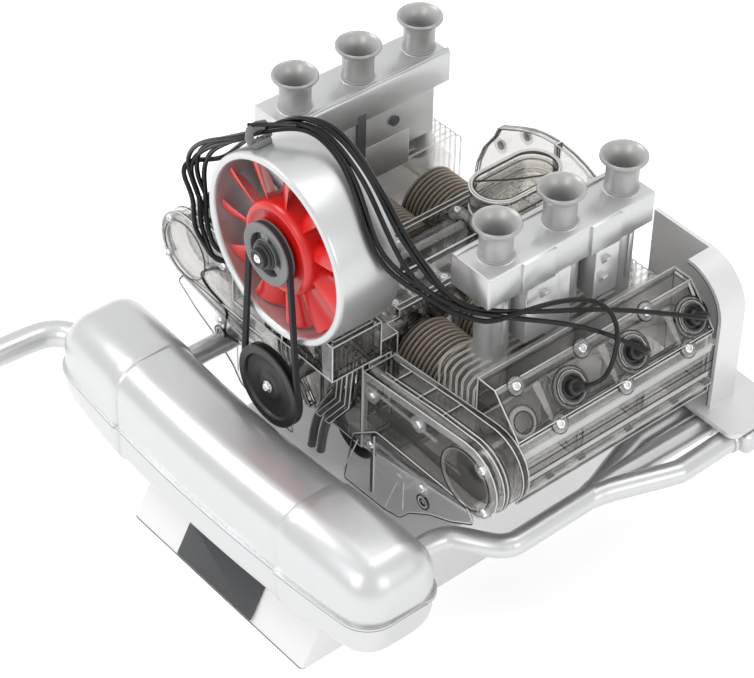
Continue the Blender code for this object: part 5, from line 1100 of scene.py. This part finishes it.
class FLATSIX_OT_chain_drive(bpy.types.Operator):
    """Builds the clear chain housings with their ribs and screws, painted highlight and painted shade lines,
    and the two timing chains
    """

    bl_idname = "flat_six.chain_drive"
    bl_label = "Chain drive"

    def execute(self, context):
        for label, side in sides():
            clear_copy(f"chain_housing_shell_{label}", f"chain_housing_{label}", 0.35)
            front = box_of(f"chain_housing_{label}")[0][1]
            outline = np.vstack([[(24.6, -24.6)], arc((CAM_X, 0.0), 15.4, -66, 94, 20), [(24.6, 10.3)]])
            frame_rib = grid(np.array([
                np.column_stack([shrunk(outline, inset)[:, 0], np.full(len(outline), front + height),
                                 shrunk(outline, inset)[:, 1]])
                for inset, height in ((0.1, 0.2), (0.1, -1.0), (0.4, -1.3), (1.5, -1.3), (1.8, -1.0),
                                      (1.8, 0.2))]),
                wrap_rows=True, wrap_columns=True)
            trims = [frame_rib]
            for height, reach in ((6.0, 64.0), (-18.0, 62.0)):
                trims.append(bar((26.0, front - 0.9, height - 0.6), (reach, front + 0.1, height + 0.6), 0.3))
            trims.append(lathe([(11.6, -1.0), (12.0, -1.0), (12.2, -0.6), (12.2, 0.2), (11.6, 0.2)], "y",
                               (CAM_X, front, 0.0), 48, closed=True))
            trims.append(bar((26.0, -60.0, 10.6), (76.0, -58.6, 13.6), 0.35))
            trims.append(bar((26.0, -49.6, 10.6), (76.0, -48.2, 13.6), 0.35))
            trims.append(bar((48.0, -60.0, 10.6), (49.6, -48.2, 13.4), 0.35))
            # Pale and near-black lines round the front ring, along the arch and across the top: painted
            # highlights and painted shade
            lights, painted_shades = [], [ring_line(12.4, "y", (CAM_X, front - 0.9, 0.0), 0.25)]
            arch = np.vstack([[(30.0, 11.3)], [(60.0, 14.6)], arc((CAM_X, 0.0), 15.6, 96, -40, 22)])
            for depth in (-58.2, -56.4, -49.4) if side > 0 else (-58.2,):
                bright, deep = painted_highlight_and_shade_lines(np.column_stack([arch[:, 0], np.full(len(arch), depth), arch[:, 1]]),
                                         False, (0.0, 0.8, 0.0))
                lights.append(bright)
                painted_shades.append(deep)
            for x in (36.0, 49.0, 62.0):
                level = np.interp(x, arch[:2, 0], arch[:2, 1])
                bright, deep = painted_highlight_and_shade_lines([(x, -58.2, level), (x, -49.6, level)], False, (0.9, 0.0, 0.0))
                lights.append(bright)
                painted_shades.append(deep)
            piece(f"chain_housing_lights_{label}", banked(lights, side), "edge_light")
            piece(f"chain_housing_darks_{label}", banked(painted_shades, side), "edge_dark")
            screws = []
            for spot in ((30.0, 4.0), (30.0, -20.0), (55.0, 8.0), (58.0, -20.5), (88.0, 10.4), (90.0, -8.0)):
                trims.append(boss_shape((spot[0], front, spot[1]), "y", tall=0.1, deep=1.4))
                screws.append(screw_shape((spot[0], front - 0.6, spot[1]),
                                          np.array([[1.0, 0, 0], [0, 0, 1.0], [0, -1.0, 0]]), head=1.7))
            piece(f"chain_housing_trims_{label}", banked(trims, side), "rib")
            piece(f"chain_housing_screws_{label}", banked(screws, side), "screw")
            middle = -56.4 if side > 0 else -52.0
            chain = chain_shape(5.9, (CAM_X, 0.0), 10.8, middle, 62)
            piece(f"timing_chain_{label}_links", flipped(chain, side), "steel", node=f"timing_chain_{label}")
        return {"FINISHED"}


class FLATSIX_OT_intake(bpy.types.Operator):
    """Builds the silver intake manifolds, dark discs and a strip of painted shade in their recesses, and the
    six trumpets
    """

    bl_idname = "flat_six.intake"
    bl_label = "Intake"

    def execute(self, context):
        for label, side in sides():
            inner, outer = INTAKE_X - 9.8, INTAKE_X + 9.8
            shapes = [bar((inner, -41.0, 53.4), (outer, 37.0, 66.6), 0.7, 0.9),
                      bar((INTAKE_X, -26.1, 54.0), (outer + 1.1, -10.7, 66.3), 0.4),
                      bar((INTAKE_X, 6.0, 54.0), (outer + 1.1, 20.4, 66.3), 0.4),
                      bar((INTAKE_X - 2.0, -23.2, 29.5), (outer + 0.7, -8.6, 54.0), 0.5),
                      bar((INTAKE_X - 2.0, -8.8, 29.0), (outer + 0.2, -2.4, 54.0), 0.4),
                      bar((INTAKE_X - 2.0, 9.0, 32.4), (outer + 0.7, 20.4, 54.0), 0.5),
                      lathe([(0.0, 31.0), (4.0, 31.0), (4.2, 31.4), (4.2, 54.0), (0.0, 54.0)], "z",
                            (INTAKE_X + 2.0, 3.4, 0.0), 28),
                      bar((inner + 0.8, -30.0, 33.0), (INTAKE_X - 1.0, 30.0, 54.0), 0.6),
                      bar((inner + 0.6, -18.0, 24.0), (inner + 5.2, 18.0, 40.0), 0.5),
                      bar((inner + 1.0, -41.2, 66.2), (inner + 2.6, 37.2, 67.2), 0.3)]
            for station in STATIONS:
                foot = [(4.3, 66.7), (6.9, 66.7), (7.3, 66.4), (7.3, 60.0), (6.2, 52.0), (6.2, 20.0),
                        (5.8, 19.0), (4.3, 19.0)]
                shapes.append(lathe(foot, "z", (INTAKE_X, station, 0.0), 40, closed=True))
                shapes.append(bar((INTAKE_X + 5.0, station - 0.8, 30.0), (INTAKE_X + 7.0, station + 0.8, 50.0),
                                  0.3))
            for y, z in ((-15.6, 48.6), (13.5, 48.6), (12.4, 40.8)):
                lug = softened([(outer, -2.4), (outer + 2.9, 1.2), (outer + 2.9, 2.0), (outer, 2.0)], 0.3, 2)
                shapes.append(plate(lug, y - 1.3, y + 1.3, 0.2, "y", (0.0, 0.0, z)))
            piece(f"intake_manifold_{label}_cast", banked(shapes, side), "silver",
                  node=f"intake_manifold_{label}")
            if side < 0:
                # Dark grey discs and a strip on the left manifold: painted shade in its recesses
                painted_recess_shades = [lathe([(0.0, 0.25), (1.1, 0.25), (1.3, 0.05), (2.0, 0.05), (2.15, 0.2), (2.15, -0.4),
                                  (0.0, -0.4)], "x", (-inner, spot[0], spot[1]), 24)
                           for spot in ((-26.0, 60.0), (10.0, 47.0))]
                painted_recess_shades.append(bar((-inner - 0.5, -8.0, 37.0), (-inner + 0.1, -4.0, 57.0), 0.08))
                piece("intake_painted_recess_shades", painted_recess_shades, "dark")
        lip = context.scene.flat_six_sizes.lip / MM
        profile = [(4.7, 66.9), (4.7, 74.0), (4.9, 76.0), (5.6, 78.2), (lip - 1.6, 79.9), (lip - 0.9, 80.7),
                   (lip - 0.35, 80.9), (lip, 80.4), (lip, 79.7), (lip - 0.35, 79.2), (lip - 1.5, 78.6),
                   (6.5, 77.4), (6.1, 76.0), (6.0, 74.0), (5.9, 67.4), (6.3, 67.3), (6.4, 66.9)]
        for number in range(1, 7):
            side = -1 if number < 4 else 1
            bell = lathe(profile, "z", (side * INTAKE_X, STATIONS[(number - 1) % 3], 0.0), 56, closed=True)
            piece(f"trumpet_{number}_turned", bell, "trumpet", node=f"trumpet_{number}")
        return {"FINISHED"}


class FLATSIX_OT_fan_housing(bpy.types.Operator):
    """Builds the fan housing with its vanes and the alternator, and the clip for the leads"""

    bl_idname = "flat_six.fan_housing"
    bl_label = "Fan housing"

    def execute(self, context):
        centre = (0.0, 0.0, FAN_Z)
        shell = [(33.1, -56.4), (33.1, -80.8), (33.25, -81.7), (33.7, -82.3), (34.3, -82.55), (35.2, -82.6),
                 (35.9, -82.3), (36.25, -81.6), (36.3, -80.9), (36.3, -57.2), (36.1, -56.4), (35.6, -56.2),
                 (33.4, -56.2)]
        shapes = [lathe(shell, "y", centre, 128, closed=True)]
        drum = [(0.0, -50.5), (13.6, -50.5), (14.7, -51.0), (15.0, -52.0), (15.0, -66.6), (14.4, -67.4),
                (2.8, -67.4), (2.8, -60.6), (0.0, -60.6)]
        shapes.append(lathe(drum, "y", centre, 64))
        for index in range(7):
            turn = 2 * math.pi * (index + 0.5) / 7
            out = np.array([math.sin(turn), 0.0, math.cos(turn)])
            across = np.array([math.cos(turn), 0.0, -math.sin(turn)])
            basis = np.array([across, [0.0, 1.0, 0.0], out])
            vane = softened([(-0.7, -62.0), (0.7, -62.0), (0.9, -56.4), (-0.9, -56.4)], 0.4, 2)
            shapes.append(plate(vane, 14.6, 34.0, 0.2, basis, centre))
        piece("fan_housing_ring", shapes, "silver", node="fan_housing", sharp=30.0)
        spot = np.array([-14.9, -75.9, 96.0])
        out = np.array([-0.38, 0.0, 0.925])
        across = np.array([0.925, 0.0, 0.38])
        basis = np.array([across, [0.0, 1.0, 0.0], out])
        clip = [plate(softened([(-2.2, -3.6), (2.2, -3.6), (2.2, 3.6), (-2.2, 3.6)], 0.8), -2.0, 0.4, 0.3,
                      basis, spot),
                sweep(np.array([spot + np.array([0.0, y, 0.0]) + out * z for y, z in
                                ((-3.4, 0.0), (-3.9, 2.4), (-3.0, 4.6), (0.0, 5.2), (3.0, 4.6), (3.9, 2.4),
                                 (3.4, 0.0))]),
                      softened([(-1.6, -0.5), (1.6, -0.5), (1.6, 0.5), (-1.6, 0.5)], 0.2, 2))]
        piece("lead_clip", clip, "pulley")
        stick = np.array([spot + [-3.4, -2.4, 5.4], spot + [4.0, 2.6, 7.6], spot + [10.2, 7.6, 8.4]])
        piece("lead_clip_stick", tube(curved(stick, 4), 0.75, 8), "lead")
        return {"FINISHED"}


def blade_shape(turn, hub, tip):
    """A fan blade: at each radius an aerofoil loop, as long as the chord there and turned to its pitch."""
    rows = 12
    radius = np.linspace(hub, tip, rows)[:, None]
    chord = np.linspace(9.0, 14.5, rows)[:, None]
    pitch = np.radians(np.linspace(52.0, 36.0, rows))[:, None]
    loop = np.linspace(0, 2 * math.pi, 20, endpoint=False)[None]
    share, thick = 0.5 * np.cos(loop), 0.62 * np.sin(loop) * (1.15 + np.cos(loop) * 0.15)
    camber = chord * 0.12 * (1 - (2 * share) ** 2) + thick
    sideways = -chord * share * np.cos(pitch) - camber * np.sin(pitch)
    along = -75.2 + chord * share * np.sin(pitch) - camber * np.cos(pitch)
    lift = np.sqrt(np.maximum(radius ** 2 - sideways ** 2, 0.0))
    points = np.stack([sideways * math.cos(turn) + lift * math.sin(turn), along,
                       lift * math.cos(turn) - sideways * math.sin(turn) + FAN_Z], -1)
    return grid(points, wrap_columns=True, caps=True)


class FLATSIX_OT_fan(bpy.types.Operator):
    """Builds the red fan, its pulley and the belt"""

    bl_idname = "flat_six.fan"
    bl_label = "Fan and belt"

    def execute(self, context):
        centre = (0.0, 0.0, FAN_Z)
        hub = [(0.0, -69.0), (17.4, -69.0), (17.9, -69.6), (17.9, -78.4), (17.7, -79.8), (17.0, -80.9),
               (15.8, -81.5), (14.8, -81.3), (14.2, -80.7), (12.6, -80.5), (6.0, -80.7), (4.6, -81.4),
               (3.0, -81.5), (2.4, -81.5), (2.4, -86.4), (0.0, -86.4)]
        blades = context.scene.flat_six_sizes.blades
        shapes = [lathe(hub, "y", centre, 72)]
        shapes += [blade_shape(2 * math.pi * index / blades, 16.8, 32.3) for index in range(blades)]
        core = lathe([(0.0, -60.1), (2.4, -60.1), (2.4, -69.2), (0.0, -69.2)], "y", centre, 24)
        piece("fan_wheel", shapes, "red", "fan", "fan")
        piece("fan_shaft", core, "steel", "fan")

        rim = [(8.3, -82.4), (11.6, -82.3), (12.0, -82.6), (12.0, -83.0), (9.6, -83.6), (9.6, -84.6),
               (12.0, -85.2), (12.0, -85.7), (11.7, -86.0), (8.7, -86.0), (8.3, -85.7)]
        web = [(2.8, -82.4), (5.8, -82.4), (5.8, -85.9), (5.4, -86.2), (2.8, -86.2)]
        shapes = [lathe(rim, "y", centre, 72, closed=True), lathe(web, "y", centre, 48, closed=True)]
        for index in range(3):
            start = 120.0 * index + 80.0
            sector = np.vstack([arc((0.0, 0.0), 8.6, start, start + 30.0, 8),
                                arc((0.0, 0.0), 5.4, start + 30.0, start, 8)])
            shapes.append(plate(sector, -85.8, -82.6, 0.25, "y", centre))
        piece("fan_pulley_turned", shapes, "pulley", "fan", "fan_pulley")
        floor = lathe([(5.6, -83.0), (8.5, -83.0), (8.5, -83.6), (5.6, -83.6)], "y", centre, 48, closed=True)
        nut = [(0.0, -88.2), (1.6, -88.2), (1.9, -88.8), (2.6, -89.5), (3.3, -89.6), (3.7, -89.3), (3.8, -88.4),
               (3.8, -87.9), (4.6, -87.7), (4.9, -87.4), (4.9, -86.9), (5.4, -86.7), (5.6, -86.4),
               (5.6, -86.0), (0.0, -86.0)]
        piece("fan_nut", merged(lathe(nut, "y", centre, 48), floor), "black", "fan")
        head = [(0.0, -89.2), (0.4, -89.2), (0.6, -89.8), (1.2, -89.9), (1.75, -89.5), (1.85, -88.9),
                (1.85, -88.1), (0.0, -88.1)]
        piece("fan_screw", lathe(head, "y", centre, 24), "screw", "fan")

        line = even(band_line((0.0, 0.0), 14.9, (0.0, FAN_Z), 10.6, 40), 160)
        path = np.stack([line[:, 0], np.full(len(line), -84.1), line[:, 1]], -1)
        middle = path.mean(0)
        away = np.roll(path, -1, 0) - np.roll(path, 1, 0)
        away = np.stack([away[:, 2], np.zeros(len(path)), -away[:, 0]], -1)
        away /= np.linalg.norm(away, axis=1)[:, None]
        away *= np.sign(np.sum(away * (path - middle), -1))[:, None]
        wedge = np.array([(-0.95, 1.1), (0.95, 1.1), (1.05, 0.8), (0.62, -0.9), (-0.62, -0.9), (-1.05, 0.8)])
        points = (path[:, None] + wedge[None, :, :1] * np.array([0.0, 1.0, 0.0])
                  + wedge[None, :, 1:] * away[:, None])
        piece("fan_belt_wedge", grid(points, wrap_rows=True, wrap_columns=True), "rubber", node="fan_belt",
              sharp=30.0)
        return {"FINISHED"}


class FLATSIX_OT_breather(bpy.types.Operator):
    """Builds the clear breather box with its rim, its painted highlight and painted shade lines and the parting
    line inside it
    """

    bl_idname = "flat_six.breather"
    bl_label = "Breather"

    def execute(self, context):
        def stadium(radius):
            return np.vstack([arc((0.0, 40.0), radius, 0, 180, 20), arc((0.0, 22.0), radius, 180, 360, 20)])

        wall = []
        for radius, height in ((10.0, 20.4), (10.0, 36.6), (10.6, 36.9), (10.6, 37.8), (10.2, 38.0),
                               (8.8, 38.0), (8.6, 37.6), (8.6, 20.4)):
            ring = stadium(radius)
            wall.append(np.column_stack([ring, np.full(len(ring), height)]))
        shapes = [grid(np.array(wall), wrap_rows=True, wrap_columns=True),
                  plate(stadium(8.7), 35.4, 36.4, 0.2),
                  sweep(curved([(-8.0, 17.0, 36.9), (-3.0, 24.0, 36.9), (2.0, 32.0, 36.9), (6.8, 42.0, 36.9)],
                               6),
                        ring_of(0.6, 8))]
        piece("breather_box_shell", shapes, "oval", node="breather_box")
        # Pale and near-black rings round the box and along its parting line: painted highlights and painted
        # shade
        rings = {kind: [sweep(np.column_stack([stadium(radius), np.full(42, height)]), ring_of(0.38, 4),
                              closed=True)
                        for radius, height in places]
                 for kind, places in (("dark", ((8.9, 38.0), (10.2, 36.3), (10.1, 21.0), (8.5, 34.9),
                                                (10.05, 30.5), (8.5, 29.0))),
                                      ("light", ((10.5, 37.9), (9.6, 38.1), (10.1, 28.0))))}
        rings["dark"].append(sweep(curved([(-8.0, 17.0, 37.4), (-3.0, 24.0, 37.4), (2.0, 32.0, 37.4),
                                           (6.8, 42.0, 37.4)],
                                          6), ring_of(0.35, 6)))
        for kind, lines in rings.items():
            piece(f"breather_lines_{kind}", lines, f"edge_{kind}")
        return {"FINISHED"}


class FLATSIX_OT_exhaust(bpy.types.Operator):
    """Builds the silver exhaust manifolds, and the rear shroud in a lit copy of the silver paint with a line of
    painted shade along its flange
    """

    bl_idname = "flat_six.exhaust"
    bl_label = "Exhaust"

    def execute(self, context):
        for label, side in sides():
            shapes = [bar((48.0, -36.0, -35.0), (66.0, 54.0, -26.4), 1.2, 2.4),
                      bar((62.0, 49.5, -34.5), (109.8, 67.6, -26.6), 1.2, 3.0)]
            for station in STATIONS:
                shapes.append(lathe([(0.0, -19.4), (3.6, -19.4), (3.8, -19.8), (3.8, -25.4), (4.6, -26.8),
                                     (0.0, -26.8)],
                                    "z", (56.0, station, 0.0), 24))
            level = -31.2
            for route in HEADER_ROUTES:
                path = curved([(x, y, level) for x, y in route], 8)
                radii = np.interp(np.arange(len(path)), [len(path) - 7, len(path) - 1], [4.4, 3.6])
                shapes.append(tube(path, radii, 24))
                shapes.append(lathe([(4.2, 1.4), (4.9, 1.4), (5.1, 1.1), (5.1, -1.1), (4.9, -1.4),
                                     (4.2, -1.4)], "y",
                                    (route[0][0], 49.0, level), 32, closed=True))
            shapes = [flipped(shape, side) for shape in shapes]
            route = [(side * x, y, level) for x, y in COLLECTOR_ROUTES[side]]
            shapes.append(tube(curved(route, 8), 4.4, 24))
            piece(f"exhaust_manifold_{label}_pipes", shapes, "silver", node=f"exhaust_manifold_{label}")
        # The rear shroud takes the lit copy of the silver paint
        cad_copy("rear_shroud_sheet", "rear_shroud", "lit_silver_copy", 0.35)
        # A dark line along the flange's front edge: painted shade
        rim = np.vstack([[(89.1, -23.0)], arc((72.0, 16.5), 17.1, 0, 90, 12)])
        piece("rear_shroud_painted_shade_line", sweep(np.column_stack([rim[:, 0], np.full(len(rim), 48.75), rim[:, 1]]),
                                        ring_of(0.3, 6)), "dark", slot="satin_silver")
        return {"FINISHED"}


def muffler_section(x, sign, skin):
    """Half of the muffler's section at x: a box with round corners, bowed, tapered and drawn in at its ends."""
    steps = 14
    past = max(0.0, (abs(x) - 80.4) / 11.0)
    inset = 11.0 * (1 - math.sqrt(max(0.0, 1 - past ** 2))) - skin
    taper = max(0.0, (abs(x) - 46.2) / 45.2) ** 2
    bow = 6.2 * (x / 91.4) ** 2
    corner = max(13.0 - inset, 0.5)
    front, back = -121.5 + bow + inset, -85.9 + bow - inset
    end = -7.5 - 5.9 * taper - inset if sign > 0 else -56.0 + 4.4 * taper + inset
    rise = end - sign * corner
    turn = np.radians(np.linspace(180, 90, steps))
    bend = np.stack([front + corner + corner * np.cos(turn), rise + sign * corner * np.sin(turn)], -1)
    other = np.stack([back - corner - corner * np.cos(turn), rise + sign * corner * np.sin(turn)], -1)[::-1]
    return front, back, np.vstack([[(front, -33.5 + sign * 0.9)], bend, [((front + back) / 2, end)], other,
                                   [(back, -33.5 + sign * 0.9)]])


def muffler_shape(sign, seam_lip):
    """Half of the muffler: round-cornered sections along X, the caps a little larger than the middle."""
    turn = np.radians(np.linspace(0, 89.5, 15))
    outer = np.concatenate([[46.6, 47.2, 52.0, 60.0, 68.0, 75.0], 80.4 + 11.0 * np.sin(turn)])
    inner = np.array([0.0, 8.0, 16.0, 24.0, 32.0, 40.0, 44.6, 45.9, 46.2])
    half = np.concatenate([inner, outer])
    skin = np.where(half < 46.4, -0.4, 0.35)
    skin = np.where(np.abs(half - 46.6) < 0.1, 0.05, skin)
    stations = np.concatenate([-half[:0:-1], half])
    skins = np.concatenate([skin[:0:-1], skin])
    rows = []
    for x, thick in zip(stations, skins):
        front, back, line = muffler_section(x, sign, thick)
        past = x * (91.4 + seam_lip) / 91.4
        body = np.column_stack([np.full(len(line), x), line])
        ends = [[(past, y, -33.5 + sign * 0.9), (past, y, -33.5 + sign * 0.15)]
                for y in (front - seam_lip, back + seam_lip)]
        rows.append(np.vstack([ends[0][::-1], body, ends[1]]))
    return grid(np.array(rows), wrap_columns=True, caps=True)


class FLATSIX_OT_muffler(bpy.types.Operator):
    """Builds the silver muffler's two halves and the tail pipe"""

    bl_idname = "flat_six.muffler"
    bl_label = "Muffler"

    def execute(self, context):
        seam_lip = context.scene.flat_six_sizes.seam_lip / MM
        piece("muffler_upper_half", muffler_shape(1, seam_lip), "silver", node="muffler_upper", sharp=50.0)
        path = curved([(x, y, -39.5) for x, y in TAIL_ROUTE], 10)
        outer = tube(path, 5.35, 32)
        piece("muffler_lower_half", merged(muffler_shape(-1, seam_lip), outer), "silver", node="muffler_lower",
              sharp=50.0)
        return {"FINISHED"}


def lead_paths():
    """The lines of the leads: from the distributor along their run, then to the boot or inwards."""
    for side in (1, -1):
        basis = slope_basis(side)
        for index in range(5 if side > 0 else 3):
            turn = math.radians(60 * index + (0 if side > 0 else 180) + 20)
            reach = 3.9 if index < 3 else 1.2
            start = np.array([-15.0 + reach * math.cos(turn), -48.2 + reach * math.sin(turn), 42.5])
            line = [start, start + [0.0, 0.0, 2.6]]
            if side > 0:
                line += [*LOOPS[index], *TRUNKS[index]]
            else:
                line += [*(np.array(SHORT_ROUTE) * [-1.0, 1.0, 1.0] + [0.0, (index - 1) * 2.25, 0.0])]
            if index < 3:
                tip = slope_point(side, 0.42, WELLS[index], 9.0)
                line += [*mirrored(BRANCH_ROUTES[index], side), tip, tip - basis[2] * 2.0]
            path = curved(line, 8)
            for _ in range(24):
                path[1:-1] = (path[:-2] + 2 * path[1:-1] + path[2:]) / 4
            yield side, index, path


class FLATSIX_OT_ignition(bpy.types.Operator):
    """Builds the distributor, eight ignition leads, six plug boots and a thin wire"""

    bl_idname = "flat_six.ignition"
    bl_label = "Ignition"

    def execute(self, context):
        at = (-15.0, -48.2, 0.0)
        cap = [(0.0, 42.0), (2.6, 42.0), (3.0, 41.6), (5.4, 41.0), (6.2, 39.6), (6.6, 36.0), (6.6, 32.6),
               (6.2, 32.2), (5.0, 32.0), (4.6, 31.4), (4.6, 20.4), (0.0, 20.4)]
        shapes = [lathe(cap, "z", at, 40)]
        radius = context.scene.flat_six_sizes.lead_radius / MM
        leads = []
        for side, index, path in lead_paths():
            shapes.append(lathe([(0.0, 44.0), (1.6, 44.0), (1.8, 43.6), (1.8, 40.6), (0.0, 40.6)], "z",
                                (path[0][0], path[0][1], 0.0), 16))
            leads.append(tube(path, radius, 12))
            if index > 2:
                continue
            basis = slope_basis(side)
            boot = [(0.0, -5.0), (4.3, -5.0), (4.4, -4.6), (4.4, 0.2), (4.1, 0.7), (3.1, 0.9), (3.0, 1.2),
                    (3.0, 3.2), (2.8, 3.6), (2.0, 4.0), (1.9, 4.4), (1.75, 8.8), (1.5, 9.2), (0.0, 9.2)]
            shapes.append(lathe(boot, basis, slope_point(side, 0.42, WELLS[index]), 28))
        piece("distributor_and_boots", shapes, "black", node="ignition_harness")
        piece("ignition_leads", leads, "lead")
        wire = curved([(-44.0, -60.0, 8.0), (-54.0, -62.0, 5.4), (-60.8, -62.0, 2.6), (-69.7, -62.0, -5.1),
                       (-66.2, -62.0, -9.7), (-56.4, -62.0, -12.6), (-54.8, -62.0, -16.9),
                       (-56.3, -62.0, -25.4), (-50.1, -62.0, -25.3), (-40.0, -61.0, -24.0)], 8)
        piece("sender_wire", tube(wire, 0.55, 8), "lead")
        return {"FINISHED"}


class FLATSIX_PT_panel(bpy.types.Panel):
    """Lists the model's parts, sizes and colours"""

    bl_idname = "FLATSIX_PT_panel"
    bl_label = "Flat Six"
    bl_space_type = "VIEW_3D"
    bl_region_type = "UI"
    bl_category = "Flat Six"

    def draw(self, context):
        for operator in OPERATORS:
            self.layout.operator(operator.bl_idname)
        for group in (context.scene.flat_six_sizes, context.scene.flat_six_colours):
            column = self.layout.column()
            for label in group.__annotations__:
                column.prop(group, label)


OPERATORS = (
    FLATSIX_OT_stage, FLATSIX_OT_plinth, FLATSIX_OT_crankcase, FLATSIX_OT_crank_train, FLATSIX_OT_cylinders,
    FLATSIX_OT_heads, FLATSIX_OT_cam_boxes, FLATSIX_OT_valve_covers, FLATSIX_OT_chain_drive, FLATSIX_OT_intake,
    FLATSIX_OT_fan_housing, FLATSIX_OT_fan, FLATSIX_OT_breather, FLATSIX_OT_exhaust, FLATSIX_OT_muffler,
    FLATSIX_OT_ignition,
)
CLASSES = (FlatSixSizes, FlatSixColours, *OPERATORS, FLATSIX_PT_panel)


def register():
    for kind in CLASSES:
        bpy.utils.register_class(kind)
    bpy.types.Scene.flat_six_sizes = PointerProperty(type=FlatSixSizes)
    bpy.types.Scene.flat_six_colours = PointerProperty(type=FlatSixColours)


def unregister():
    del bpy.types.Scene.flat_six_colours
    del bpy.types.Scene.flat_six_sizes
    for kind in reversed(CLASSES):
        bpy.utils.unregister_class(kind)


def main():
    """Builds every piece in order."""
    register()
    for operator in OPERATORS:
        group, _, name = operator.bl_idname.partition(".")
        getattr(getattr(bpy.ops, group), name)()


if __name__ == "__main__":
    main()
